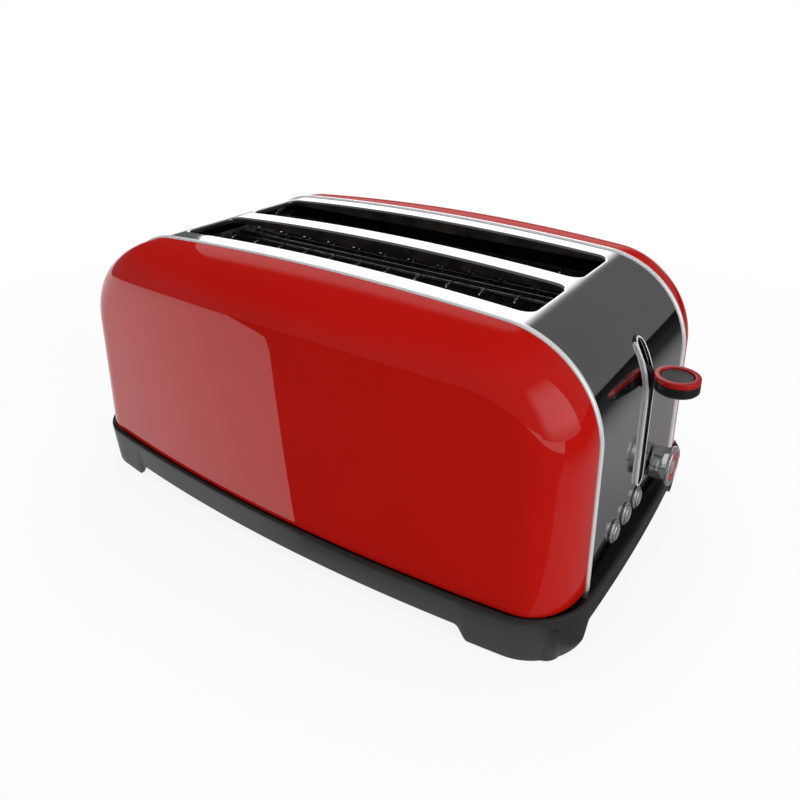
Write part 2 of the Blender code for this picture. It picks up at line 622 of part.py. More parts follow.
def make_board(name, y):
    """A mica board that carries one heater winding."""
    return box(name, (-OVEN_HALF_LENGTH, y - BOARD_SHEET / 2, OVEN_BOTTOM),
               (OVEN_HALF_LENGTH, y + BOARD_SHEET / 2, OVEN_TOP))


def make_winding(name, board_y, towards):
    """The flat heater ribbon in one zigzag, on the bread side of its board."""
    half = SLOT_HALF_LENGTH - 6 * MM
    pitch = (OVEN_TOP - OVEN_BOTTOM - 20 * MM) / (RIBBON_RUNS - 1)
    bottom = OVEN_BOTTOM + 10 * MM - RIBBON_WIDTH / 2
    xs = [-half, -half + RIBBON_WIDTH, half - RIBBON_WIDTH, half]
    zs = []
    for run in range(RIBBON_RUNS):
        zs += [bottom + run * pitch, bottom + run * pitch + RIBBON_WIDTH]

    def solid(i, j):
        if j % 2 == 0:
            return True
        return i == (2 if (j // 2) % 2 == 0 else 0)

    start = board_y + towards * (BOARD_SHEET / 2 + GAP)
    low, high = sorted((start, start + towards * RIBBON_SHEET))
    return lattice(name, xs, zs, solid, low, high, "Y")


def make_shield(name, side):
    """The bright reflector between an outer heater and its cover."""
    low, high = sorted((side * SHIELD_Y, side * (SHIELD_Y + SHIELD_SHEET)))
    return box(name, (-OVEN_HALF_LENGTH, low, OVEN_BOTTOM), (OVEN_HALF_LENGTH, high, OVEN_TOP))


def bars(half, count, width):
    """Break lines for count bars of one width, spread evenly from -half to half."""
    pitch = (2 * half - width) / (count - 1)
    return [-half + i * pitch + part for i in range(count) for part in (0, width)]


def make_guide(name, y):
    """A bread guide: a wire grid with a rail along its top and along its hinge at the bottom."""
    xs = bars(GUIDE_HALF_LENGTH, GUIDE_BARS, GUIDE_WIRE)
    zs = [GUIDE_BOTTOM, GUIDE_BOTTOM + GUIDE_WIRE, GUIDE_TOP - GUIDE_WIRE, GUIDE_TOP]
    return lattice(name, xs, zs, lambda i, j: i % 2 == 0 or j != 1,
                   y - GUIDE_WIRE / 2, y + GUIDE_WIRE / 2, "Y")


# ---- Carriage
def make_rack(name, side):
    """The wire rack that the bread stands on, with an arm through each chassis plate."""
    inner, outer = SLOT_MIDDLE - RACK_WIDTH / 2, SLOT_MIDDLE + RACK_WIDTH / 2
    arm = RACK_ARM_WIDTH / 2
    half = SLOT_HALF_LENGTH - 2 * MM
    xs = [-CHASSIS_X - 3 * MM] + bars(half, GUIDE_BARS, GUIDE_WIRE) + [BRACKET_X - GAP]
    ys = [inner, inner + GUIDE_WIRE, SLOT_MIDDLE - arm, SLOT_MIDDLE + arm, outer - GUIDE_WIRE, outer]
    if side < 0:
        ys = [-y for y in reversed(ys)]
    last = len(xs) - 2

    def solid(i, j):
        return j == 2 if i in (0, last) else (i % 2 == 1 or j in (0, 4))

    return lattice(name, xs, ys, solid, RACK_HEIGHT, RACK_HEIGHT + GUIDE_WIRE)


def make_bracket():
    """The steel bracket that joins both racks, slides on the rod and holds the lever and the armature."""
    back, front = BRACKET_X, BRACKET_X + BRACKET_SHEET
    half = SLOT_MIDDLE + RACK_ARM_WIDTH
    bracket = box("carriage_bracket", (back, -half, BRACKET_BOTTOM), (front, half, BRACKET_TOP))
    sleeve_bottom, sleeve_top = BRACKET_BOTTOM + 6 * MM, BRACKET_TOP - 4 * MM
    sleeve = prism("sleeve", circle((ROD_X, ROD_Y), ROD_RADIUS + 2.2 * MM, 20), sleeve_bottom, sleeve_top)
    web = box("web", (front - 0.5 * MM, ROD_Y - 1.5 * MM, sleeve_bottom + 1 * MM),
              (ROD_X, ROD_Y + 1.5 * MM, sleeve_top - 1 * MM))
    tongue = box("tongue", (front - 0.5 * MM, -TONGUE_SHEET / 2, tongue_low()),
                 (tongue_end(), TONGUE_SHEET / 2, tongue_low() + TONGUE_HEIGHT))
    shelf_z = ARMATURE_Z + ARMATURE_SHEET + GAP
    shelf = box("shelf", (front - 0.5 * MM, MAGNET_Y - ARMATURE_SIDE / 2, shelf_z),
                (MAGNET_X + ARMATURE_SIDE / 2, MAGNET_Y + ARMATURE_SIDE / 2, shelf_z + BRACKET_SHEET))
    combine(bracket, "UNION", web, sleeve, tongue, shelf)
    bore = prism("bore", circle((ROD_X, ROD_Y), ROD_RADIUS + 0.35 * MM, 20),
                 sleeve_bottom - 5 * MM, sleeve_top + 5 * MM)
    return combine(bracket, "DIFFERENCE", bore)


def tongue_low():
    return LEVER_ARM_BOTTOM + 4 * MM


def tongue_end():
    return BRACKET_X + BRACKET_SHEET + 16 * MM


def make_lever_handle():
    """The black moulding: a tall thin arm through the slot that runs out into the round knob."""
    start = BRACKET_X + BRACKET_SHEET + GAP
    low, high = LEVER_ARM_BOTTOM, LEVER_ARM_BOTTOM + LEVER_ARM_HEIGHT
    knob_low, knob_high = KNOB_BOTTOM, KNOB_BOTTOM + KNOB_BODY_HEIGHT
    rim = LEVER_X - KNOB_RADIUS
    side_view = [(start, low), (rim - 4 * MM, low), (rim + 3 * MM, knob_low),
                 (rim + 6 * MM, knob_low + 0.5 * MM), (rim + 6 * MM, knob_high - 0.5 * MM),
                 (rim - 0.5 * MM, knob_high), (rim - 2 * MM, high), (start, high)]
    disc = [(0, knob_low), (KNOB_RADIUS - 1 * MM, knob_low), (KNOB_RADIUS, knob_low + 1 * MM),
            (KNOB_RADIUS, knob_high), (0, knob_high)]
    handle = turned("lever_handle", disc, (LEVER_X, 0, 0), steps=36)
    arm = prism("arm", side_view, -LEVER_ARM_THICKNESS / 2, LEVER_ARM_THICKNESS / 2, "Y")
    combine(handle, "UNION", arm)
    side = TONGUE_SHEET / 2 + GAP
    pocket = box("pocket", (start - 1 * MM, -side, tongue_low() - GAP),
                 (tongue_end() + GAP, side, tongue_low() + TONGUE_HEIGHT + GAP))
    return combine(handle, "DIFFERENCE", pocket)


def make_knob_ring():
    """The red ring on top of the knob, rounded on its upper outer edge."""
    low = KNOB_BOTTOM + KNOB_BODY_HEIGHT + GAP
    inner = KNOB_PAD_RADIUS + GAP
    profile = [(inner, low), (KNOB_RADIUS, low), (KNOB_RADIUS, KNOB_TOP - 1.2 * MM),
               (KNOB_RADIUS - 0.4 * MM, KNOB_TOP - 0.4 * MM), (KNOB_RADIUS - 1.2 * MM, KNOB_TOP),
               (inner + 0.6 * MM, KNOB_TOP), (inner, KNOB_TOP - 0.6 * MM)]
    return turned("lever_knob_ring", profile, (LEVER_X, 0, 0), steps=36)


def make_knob_pad():
    """The dark inlay in the middle of the knob, a little below the ring's edge."""
    low = KNOB_BOTTOM + KNOB_BODY_HEIGHT + GAP
    return washer("lever_knob_pad", KNOB_PAD_RADIUS, 0, low, low + KNOB_PAD_HEIGHT, (LEVER_X, 0, 0))


def make_lever_bezel():
    """The raised bright frame around the lever's slot, which follows the curve of the shoulder."""
    half = LEVER_SLOT_WIDTH / 2
    outer = half + LEVER_BEZEL_WIDTH
    inner = half - 0.4 * MM
    bezel = profile_sheet("lever_slot_bezel", -GAP - LEVER_BEZEL_PROUD, DECK_TOP,
                          -outer - 2 * MM, outer + 2 * MM, LEVER_BEZEL_PROUD)
    reach = (SHOULDER_X, HALF_LENGTH + 10 * MM)
    keep = racetrack((-outer, LEVER_SLOT_BOTTOM - LEVER_BEZEL_WIDTH),
                     (outer, LEVER_SLOT_TOP + LEVER_BEZEL_WIDTH), outer * 0.98)
    opening = racetrack((-inner, LEVER_SLOT_BOTTOM + half - inner),
                        (inner, LEVER_SLOT_TOP - half + inner), inner * 0.98)
    combine(bezel, "INTERSECT", prism("keep", keep, *reach, "X"))
    return combine(bezel, "DIFFERENCE", prism("opening", opening, *reach, "X"))


def make_spring():
    """The return spring, a helix between the bracket's upper edge and the top of the oven."""
    curve = bpy.data.curves.new("return_spring", "CURVE")
    curve.dimensions = "3D"
    curve.bevel_depth = SPRING_WIRE
    curve.bevel_resolution = 0
    curve.use_fill_caps = True
    steps = 8
    count = SPRING_TURNS * steps + 1
    low, high = BRACKET_BOTTOM + 8 * MM, spring_top()
    spline = curve.splines.new("POLY")
    spline.points.add(count - 1)
    for i, point in enumerate(spline.points):
        angle = 2 * math.pi * i / steps
        point.co = (ROD_X + SPRING_RADIUS * math.cos(angle), SPRING_Y + SPRING_RADIUS * math.sin(angle),
                    low + (high - low) * i / (count - 1), 1)
    spring = bpy.data.objects.new("return_spring", curve)
    bpy.context.scene.collection.objects.link(spring)
    return spring


def spring_top():
    return OVEN_TOP - 8 * MM


# ---- Controls
def make_dial():
    """The chrome dial: a barrel with a flared front rim, a recess for the ring and a bore for its shaft."""
    lip = DIAL_END - DIAL_RECESS
    bore = DIAL_SHAFT_RADIUS + GAP
    well = dial_ring_radius() + GAP
    profile = [(bore, DIAL_START), (DIAL_RADIUS, DIAL_START), (DIAL_RADIUS, DIAL_END - 4.5 * MM),
               (DIAL_FLANGE_RADIUS, DIAL_END - 2 * MM), (DIAL_FLANGE_RADIUS, DIAL_END - 0.5 * MM),
               (DIAL_FLANGE_RADIUS - 0.6 * MM, DIAL_END), (well, DIAL_END), (well, lip), (bore, lip)]
    return turned("dial_knob", profile, (0, DIAL_Y, DIAL_Z), "X", 36)


def dial_ring_radius():
    return DIAL_FLANGE_RADIUS - 2.8 * MM


def make_dial_ring():
    low = DIAL_END - DIAL_RECESS + GAP
    outer = dial_ring_radius()
    return washer("dial_ring", outer, outer - DIAL_RING_WIDTH, low, DIAL_END - 0.3 * MM,
                  (0, DIAL_Y, DIAL_Z), "X")


def make_dial_cap():
    low = DIAL_END - DIAL_RECESS + GAP
    radius = dial_ring_radius() - DIAL_RING_WIDTH - GAP
    face = DIAL_END - 0.1 * MM
    profile = [(0, low), (radius, low), (radius, face - 0.5 * MM), (radius - 0.6 * MM, face), (0, face)]
    return turned("dial_cap", profile, (0, DIAL_Y, DIAL_Z), "X")


def make_dial_shaft():
    return washer("dial_shaft", DIAL_SHAFT_RADIUS, 0, BOARD_X + POT_LENGTH + 2 * GAP,
                  DIAL_END - DIAL_RECESS, (0, DIAL_Y, DIAL_Z), "X", 20)


def make_pot():
    return washer("dial_potentiometer", POT_RADIUS, 0, BOARD_X + GAP, BOARD_X + POT_LENGTH,
                  (0, DIAL_Y, DIAL_Z), "X", 20)


def make_button(name, y):
    """A round push button with a slimmer stem behind it."""
    face = HALF_LENGTH + BUTTON_PROUD
    shoulder = HALF_LENGTH - 4 * MM
    back = BOARD_X + 2 * MM + BUTTON_TRAVEL + GAP
    profile = [(0, back), (2 * MM, back), (2 * MM, shoulder), (BUTTON_RADIUS, shoulder),
               (BUTTON_RADIUS, face - 0.6 * MM), (BUTTON_RADIUS - 0.6 * MM, face), (0, face)]
    return turned(name, profile, (0, y, BUTTON_Z), "X", 28)


def make_button_bezel(name, y):
    inner = BUTTON_RADIUS + 0.5 * MM
    outer = inner + BUTTON_BEZEL
    low, high = HALF_LENGTH + GAP, HALF_LENGTH + 1.5 * MM
    profile = [(inner, low), (outer, low), (outer, high - 0.7 * MM), (outer - 0.6 * MM, high), (inner, high)]
    return turned(name, profile, (0, y, BUTTON_Z), "X", 28)


def make_control_board():
    """The upright board behind the controls, with one small switch behind each button."""
    low, middle = DECK_TOP + GAP, LEVER_ARM_BOTTOM - CARRIAGE_DOWN - 3 * MM
    high = DIAL_Z + POT_RADIUS + 8 * MM
    ys = [-CHASSIS_HALF_WIDTH + 4 * MM, LEVER_SLOT_WIDTH - 1 * MM, CHASSIS_HALF_WIDTH - 4 * MM]
    board = lattice("control_board", ys, [low, middle, high], lambda i, j: j == 0 or i == 1,
                    BOARD_X - CONTROL_BOARD_SHEET, BOARD_X, "X")
    for y in button_rows():
        side = 3 * MM
        switch = box("switch", (BOARD_X - 0.5 * MM, y - side, BUTTON_Z - side),
                     (BOARD_X + 2 * MM, y + side, BUTTON_Z + side))
        combine(board, "UNION", switch)
    return board


def make_magnet_core():
    half = CORE_SIDE / 2
    return box("magnet_core", (MAGNET_X - half, MAGNET_Y - half, DECK_TOP + GAP),
               (MAGNET_X + half, MAGNET_Y + half, MAGNET_TOP))


def make_magnet_coil():
    half, hole = COIL_SIDE / 2, CORE_SIDE / 2 + GAP
    low = DECK_TOP + 1.5 * MM
    xs = [MAGNET_X - half, MAGNET_X - hole, MAGNET_X + hole, MAGNET_X + half]
    ys = [MAGNET_Y - half, MAGNET_Y - hole, MAGNET_Y + hole, MAGNET_Y + half]
    return lattice("magnet_coil", xs, ys, lambda i, j: (i, j) != (1, 1), low, low + COIL_HEIGHT)


def make_armature():
    half = ARMATURE_SIDE / 2
    return box("armature_plate", (MAGNET_X - half, MAGNET_Y - half, ARMATURE_Z),
               (MAGNET_X + half, MAGNET_Y + half, ARMATURE_Z + ARMATURE_SHEET))


# ---- Assembly
def add(parent, finish_name, piece):
    """Gives a piece its finish and hangs it on its body's empty, where it already is."""
    piece.data.materials.clear()
    piece.data.materials.append(finish(finish_name))
    piece.parent = parent
    if parent.parent is not None:
        piece.location = -parent.location
    return piece


def joint_frame(name, place, toaster):
    """An empty on a joint's axis, which the pieces of a moving body hang on."""
    empty = bpy.data.objects.new(name, None)
    empty.location = place
    empty.parent = toaster
    bpy.context.scene.collection.objects.link(empty)
    return empty


def build():
    for piece in list(bpy.data.objects):
        bpy.data.objects.remove(piece)
    toaster = bpy.data.objects.new("toaster", None)
    toaster.location = (BODY_OFFSET, 0, 0)
    bpy.context.scene.collection.objects.link(toaster)

    add(toaster, "dark_plastic", make_plinth())
    add(toaster, "zinc_steel", make_base_plate())
    corners = ("front_left", "front_right", "rear_left", "rear_right")
    for corner, (x, y) in zip(corners, pad_places()):
        pad = washer("foot_pad_" + corner, PAD_RADIUS, 0, 0, PAD_HEIGHT, (x, y, 0), steps=20)
        add(toaster, "rubber", pad)
    for corner, (x, y) in zip(corners, screw_places()):
        add(toaster, "zinc_steel", make_screw("base_screw_" + corner, x, y))
    add(toaster, "mirror_steel", make_wrap())
    for name, side in (("front", -1), ("rear", 1)):
        add(toaster, "red_paint", make_cover(name + "_cover", side))
        add(toaster, "chrome", make_trim(name + "_trim", side))
        add(toaster, "zinc_steel", make_shield(name + "_heat_shield", side))
        for place, board_y, towards in (("outer", BOARD_OUTER_Y, -1), ("inner", BOARD_INNER_Y, 1)):
            add(toaster, "mica", make_board(f"{name}_{place}_element_board", side * board_y))
            winding = make_winding(f"{name}_{place}_element_winding", side * board_y, side * towards)
            add(toaster, "heater_wire", winding)
    add(toaster, "zinc_steel", make_chassis_plate("left_chassis_plate", -1))
    add(toaster, "zinc_steel", make_chassis_plate("right_chassis_plate", 1))
    rod = washer("carriage_rod", ROD_RADIUS, 0, DECK_TOP + GAP, OVEN_TOP - 6 * MM, (ROD_X, ROD_Y, 0), steps=20)
    add(toaster, "zinc_steel", rod)
    add(toaster, "zinc_steel", make_spring())
    add(toaster, "zinc_steel", make_magnet_core())
    add(toaster, "copper", make_magnet_coil())
    add(toaster, "green_board", make_control_board())
    add(toaster, "dark_plastic", make_pot())
    add(toaster, "black_plastic", make_gland())
    add(toaster, "chrome", make_lever_bezel())

    carriage = joint_frame("carriage", (ROD_X, ROD_Y, RACK_HEIGHT), toaster)
    add(carriage, "zinc_steel", make_bracket())
    add(carriage, "zinc_steel", make_rack("front_bread_rack", -1))
    add(carriage, "zinc_steel", make_rack("rear_bread_rack", 1))
    add(carriage, "zinc_steel", make_armature())
    add(carriage, "black_plastic", make_lever_handle())
    add(carriage, "red_plastic", make_knob_ring())
    add(carriage, "dark_plastic", make_knob_pad())

    for name, side in (("front", -1), ("rear", 1)):
        for place, y in (("outer", GUIDE_OUTER_Y), ("inner", GUIDE_INNER_Y)):
            pivot = (0, side * y, GUIDE_BOTTOM + GUIDE_WIRE / 2)
            hinge = joint_frame(f"{name}_{place}_hinge", pivot, toaster)
            add(hinge, "zinc_steel", make_guide(f"{name}_{place}_bread_guide", side * y))

    dial = joint_frame("dial", (DIAL_START, DIAL_Y, DIAL_Z), toaster)
    add(dial, "chrome", make_dial())
    add(dial, "red_plastic", make_dial_ring())
    add(dial, "chrome", make_dial_cap())
    add(dial, "zinc_steel", make_dial_shaft())

    for number, y in enumerate(button_rows(), 1):
        add(toaster, "chrome", make_button_bezel(f"button_{number}_bezel", y))
        slide = joint_frame(f"button_{number}_slide", (HALF_LENGTH, y, BUTTON_Z), toaster)
        add(slide, "chrome", make_button(f"button_{number}", y))

    tray = joint_frame("tray", (-RIM_HALF_LENGTH, 0, PLATE_BOTTOM), toaster)
    add(tray, "zinc_steel", make_tray())


build()
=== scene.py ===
"""Looks for the pop up toaster: a mirror-steel centre, deep red enamel covers and a dark plinth."""

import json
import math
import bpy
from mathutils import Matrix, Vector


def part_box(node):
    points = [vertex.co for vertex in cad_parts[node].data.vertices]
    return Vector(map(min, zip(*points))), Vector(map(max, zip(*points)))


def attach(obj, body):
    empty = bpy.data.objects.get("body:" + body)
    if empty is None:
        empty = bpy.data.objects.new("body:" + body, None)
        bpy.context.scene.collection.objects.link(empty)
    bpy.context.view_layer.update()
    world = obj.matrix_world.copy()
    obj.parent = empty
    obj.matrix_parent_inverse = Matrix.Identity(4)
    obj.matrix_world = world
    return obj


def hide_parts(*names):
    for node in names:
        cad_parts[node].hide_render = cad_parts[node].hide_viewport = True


bl_info = {
    "name": "Two-slot toaster",
    "version": (1, 0, 0),
    "blender": (4, 5, 0),
    "location": "View3D > Sidebar > Toaster",
    "description": "Builds the visible skin, wires, controls and finishes of a pop up toaster on its frame",
    "category": "Object",
}

import bmesh
import bpy
import numpy as np
from bpy.props import FloatProperty, FloatVectorProperty, IntProperty, PointerProperty

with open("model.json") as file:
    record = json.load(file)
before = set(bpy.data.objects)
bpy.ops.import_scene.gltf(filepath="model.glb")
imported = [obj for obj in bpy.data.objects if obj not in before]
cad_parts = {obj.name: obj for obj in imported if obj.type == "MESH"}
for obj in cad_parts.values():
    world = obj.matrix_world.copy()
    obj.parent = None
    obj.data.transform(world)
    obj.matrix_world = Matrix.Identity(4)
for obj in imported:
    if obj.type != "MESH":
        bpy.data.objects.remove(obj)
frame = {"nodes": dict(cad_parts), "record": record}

MM = 0.001
FULL = 2 * math.pi


# ---- Places and sizes that the frame gives
def span(node, axis):
    """(lowest, highest) of a frame node along one axis, 0 x, 1 y, 2 z."""
    low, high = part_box(node)
    return low[axis], high[axis]


def round_part(node):
    """(centre, radius, back, front) of a frame node that is round about x, with x from the middle of the wrap."""
    low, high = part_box(node)
    centre = (0, (low[1] + high[1]) / 2, (low[2] + high[2]) / 2)
    return centre, (high[1] - low[1]) / 2, low[0] - MIDDLE_X, high[0] - MIDDLE_X


WRAP_X, WRAP_Y, WRAP_Z = (span("body_wrap", axis) for axis in range(3))
MIDDLE_X = (WRAP_X[0] + WRAP_X[1]) / 2
HALF_LENGTH = (WRAP_X[1] - WRAP_X[0]) / 2
HALF_WRAP = WRAP_Y[1]
TOP_Z = WRAP_Z[1]
WRAP_BOTTOM = WRAP_Z[0]
CROWN = 1900 * MM
SHOULDER = 56 * MM
SHOULDER_X = HALF_LENGTH - SHOULDER
CROWN_ANGLE = math.asin(SHOULDER_X / (CROWN - SHOULDER))
SHOULDER_Z = TOP_Z - CROWN + math.sqrt((CROWN - SHOULDER) ** 2 - SHOULDER_X ** 2)


# ---- Surfaces
def spaced(*stops):
    """Values from stop to stop: spaced(a, n, b, m, c) has n even steps from a to b, then m from b to c."""
    parts = [np.linspace(stops[i], stops[i + 2], stops[i + 1] + 1)[:-1] for i in range(0, len(stops) - 2, 2)]
    return np.concatenate(parts + [[stops[-1]]])


def points(x, y, z):
    """x, y and z, each a number or an array, as one array of points."""
    return np.stack(np.broadcast_arrays(x, y, z), axis=-1).astype(float)


def capped(grid):
    """grid with one row at each end drawn in to the middle of that end's ring, which closes a tube."""
    first = np.broadcast_to(grid[0].mean(axis=0), grid[0].shape)
    last = np.broadcast_to(grid[-1].mean(axis=0), grid[-1].shape)
    return np.concatenate([first[None], grid, last[None]])


def of_faces(mesh, what):
    """The center or normal of each face of a mesh, one row each."""
    numbers = np.empty(len(mesh.polygons) * 3)
    mesh.polygons.foreach_get(what, numbers)
    return numbers.reshape(-1, 3)


class Skin:
    """Grids of points that become one mesh. A grid has rows along its first axis and columns along the second."""

    def __init__(self):
        self.points, self.faces, self.count = [], [], 0

    def add(self, grid, round_rows=False, round_columns=False):
        """Adds one grid, or a stack of grids of one size, and joins its last row or column to the first if round."""
        grids = grid if grid.ndim == 4 else grid[None]
        many, rows, columns = grids.shape[:3]
        index = np.arange(rows * columns).reshape(rows, columns)
        if round_rows:
            index = np.concatenate([index, index[:1]])
        if round_columns:
            index = np.concatenate([index, index[:, :1]], axis=1)
        quads = np.stack([index[:-1, :-1], index[1:, :-1], index[1:, 1:], index[:-1, 1:]], axis=-1).reshape(-1, 4)
        starts = self.count + rows * columns * np.arange(many)
        self.faces.append((quads[None] + starts[:, None, None]).reshape(-1, 4))
        self.points.append(grids.reshape(-1, 3))
        self.count += many * rows * columns
        return self

    def piece(self, name, slot=None, body=None, node=None, material=None, wall=0.0, sharp=32, outward=None,
              cutters=(), lining=None):
        """The finished object, which rides on body and stands in for node. Its slot names its finish too, unless a
        material is given. wall thickens an open skin inwards; outward is a direction an open skin's face that lies
        furthest that way must look; cutters are closed objects that are cut away and then removed; lining is the
        finish of a wall's inner side."""
        if slot and material is None:
            material = finish(slot)
        mesh = bpy.data.meshes.new(name)
        everything = np.concatenate(self.points)
        everything[:, 0] += MIDDLE_X
        mesh.from_pydata(everything.tolist(), [], np.concatenate(self.faces).tolist())
        bm = bmesh.new()
        bm.from_mesh(mesh)
        bmesh.ops.remove_doubles(bm, verts=bm.verts[:], dist=2e-6)
        bmesh.ops.recalc_face_normals(bm, faces=bm.faces[:])
        bm.to_mesh(mesh)
        bm.free()
        made = bpy.data.objects.new(name, mesh)
        bpy.context.scene.collection.objects.link(made)
        if outward is not None:
            furthest = max(mesh.polygons, key=lambda face: face.center.dot(outward))
            if furthest.normal.dot(outward) < 0:
                mesh.flip_normals()
        if wall:
            sheet = made.modifiers.new("Wall", "SOLIDIFY")
            sheet.thickness, sheet.offset, sheet.use_even_offset = wall, -1, True
            if lining is not None:
                mesh.materials.append(material)
                mesh.materials.append(lining)
                sheet.material_offset = 1
        for cutter in cutters:
            cut = made.modifiers.new("Cut", "BOOLEAN")
            cut.operation, cut.solver, cut.object = "DIFFERENCE", "EXACT", cutter
        if made.modifiers:
            shaped = made.evaluated_get(bpy.context.evaluated_depsgraph_get())
            mesh = bpy.data.meshes.new_from_object(shaped)
            made.modifiers.clear()
            made.data = mesh
        for cutter in cutters:
            bpy.data.objects.remove(cutter)
        mesh.name = name
        mesh.shade_smooth()
        mesh.set_sharp_from_angle(angle=math.radians(sharp))
        if lining is None:
            mesh.materials.clear()
            mesh.materials.append(material)
            mesh.polygons.foreach_set("material_index", np.zeros(len(mesh.polygons), dtype=np.int32))
        if body:
            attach(made, body)
        if node:
            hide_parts(node)
        return made


def turned(profile, centre, axis, steps):
    """A profile of (radius, height) rows turned about X or Z: p(i, a) = centre + r_i (cos a, sin a), h_i."""
    profile = np.asarray(profile, dtype=float)
    a = np.arange(steps) / steps * FULL
    r, h = profile[:, :1], profile[:, 1:]
    u, v = r * np.cos(a), r * np.sin(a)
    return points(*((u, v, h) if axis == "Z" else (h, u, v))) + np.asarray(centre)


def rounded(corners, radii, steps=5):
    """A polyline whose inner corners are replaced by arcs: each arc is tangent to both of its sides."""
    corners = np.asarray(corners, dtype=float)
    radii = np.broadcast_to(radii, len(corners))
    path = [corners[0]]
    for before, at, after, radius in zip(corners, corners[1:], corners[2:], radii[1:]):
        into, out = (before - at), (after - at)
        room = min(np.linalg.norm(into), np.linalg.norm(out)) / 2
        into, out = into / np.linalg.norm(into), out / np.linalg.norm(out)
        half = np.arccos(np.clip(into @ out, -1, 1)) / 2
        if radius <= 0 or half > 1.55:
            path.append(at)
            continue
        back = min(radius / math.tan(half), room)
        radius = back * math.tan(half)
        middle = at + (into + out) / np.linalg.norm(into + out) * radius / math.sin(half)
        start, end = at + into * back - middle, at + out * back - middle
        sweep = np.pi - 2 * half
        for k in range(steps + 1):
            share = k / steps
            arc = start * math.sin((1 - share) * sweep) + end * math.sin(share * sweep)
            path.append(middle + arc / math.sin(sweep))
    path.append(corners[-1])
    return np.array(path)


def tubes(paths, radius, binormal, sides=10):
    """Round wires along a stack of flat paths that share one plane normal b: p = path + r (cos a n + sin a b),
    with n the normal of the path in its plane. Each wire is closed by a point at both ends."""
    paths = np.asarray(paths, dtype=float)
    along = np.gradient(paths, axis=1)
    along /= np.linalg.norm(along, axis=-1, keepdims=True)
    binormal = np.asarray(binormal, dtype=float)
    normal = np.cross(along, binormal)
    a = (np.arange(sides) / sides * FULL)[:, None]
    rings = (paths[:, :, None] + radius * (np.cos(a) * normal[:, :, None] + np.sin(a) * binormal))
    first = np.broadcast_to(paths[:, :1, None], rings[:, :1].shape)
    last = np.broadcast_to(paths[:, -1:, None], rings[:, -1:].shape)
    return np.concatenate([first, rings, last], axis=1)


def body_outline(inset, bottom, crown, shoulder, end):
    """(x, z) of the wrap's outline moved in by inset, from the foot of the left end over to the right: the ends are
    upright, a shoulder point is its centre + (SHOULDER - inset)(sin a, cos a), and a crown point the same with the
    crown's radius about a centre far below. inset may be a column of several. The last three are counts of points."""
    inset = np.asarray(inset, dtype=float).reshape(-1, 1)
    a = np.concatenate([np.linspace(0, CROWN_ANGLE, crown)[:-1], np.linspace(CROWN_ANGLE, np.pi / 2, shoulder)])
    on_crown = np.arange(len(a)) < crown - 1
    radius = np.where(on_crown, CROWN, SHOULDER) - inset
    x = np.where(on_crown, 0, SHOULDER_X) + radius * np.sin(a)
    z = np.where(on_crown, TOP_Z - CROWN, SHOULDER_Z) + radius * np.cos(a)
    down = np.linspace(SHOULDER_Z, bottom, end)[1:]
    x = np.concatenate([x, np.broadcast_to(HALF_LENGTH - inset, (len(inset), len(down)))], axis=1)
    z = np.concatenate([z, np.broadcast_to(down, (len(inset), len(down)))], axis=1)
    return np.concatenate([-x[:, :0:-1], x], axis=1), np.concatenate([z[:, :0:-1], z], axis=1)


def top_height(x):
    """Height of the wrap's upper face at x."""
    x = np.abs(x)
    crown = TOP_Z - CROWN + np.sqrt(CROWN ** 2 - x ** 2)
    shoulder = SHOULDER_Z + np.sqrt(np.maximum(SHOULDER ** 2 - (x - SHOULDER_X) ** 2, 0))
    return np.where(x <= CROWN * math.sin(CROWN_ANGLE), crown, shoulder)


def on_shoulder(a):
    """(x, z) of the right shoulder's outer face at angles a from upright."""
    return SHOULDER_X + SHOULDER * np.sin(a), SHOULDER_Z + SHOULDER * np.cos(a)


def end_reach(z):
    """How far the right end stands from the middle at height z."""
    lift = np.clip(z - SHOULDER_Z, 0, SHOULDER)
    return SHOULDER_X + np.sqrt(SHOULDER ** 2 - lift ** 2)


def rectangle(us, vs):
    """The edge of a grid of us by vs as one closed round of (u, v), from the first u and v towards the last u."""
    sides = ((us, vs[0]), (us[-1], vs), (us[::-1], vs[-1]), (us[0], vs[::-1]))
    return np.concatenate([np.stack(np.broadcast_arrays(u, v), 1)[:-1] for u, v in sides])


def around_hole(boundary, core_low, core_high, radius, lip, rows=4, roll=6):
    """Rays from a hole's edge out to a boundary: with q the nearest point of the hole's core to a boundary point b and
    n the unit vector from q to b, a point is q + n (radius + t). Within lip of the edge it drops in a quarter round,
    by lip - sqrt(lip^2 - (lip - t)^2). Returns the points in the sheet and the drop of each."""
    q = np.clip(boundary, core_low, core_high)
    reach = np.linalg.norm(boundary - q, axis=1)
    n = (boundary - q) / reach[:, None]
    flat = lip + (reach - radius - lip) * np.linspace(1, 0, rows + 1)[:, None]
    turn = lip * (1 - np.sin(np.linspace(0, np.pi / 2, roll + 1)[1:, None])) + np.zeros(len(q))
    t = np.concatenate([flat, turn])
    drop = lip - np.sqrt(np.maximum(lip ** 2 - np.maximum(lip - t, 0) ** 2, 0))
    return q + n * (radius + t)[..., None], drop


# ---- Shader maths and finishes
def maths(operation):
    """An operator that adds a Math node, and its reflected form."""
    def plain(value, other):
        return value.finish.maths(operation, value, other)

    def reflected(value, other):
        return value.finish.maths(operation, other, value)

    return plain, reflected


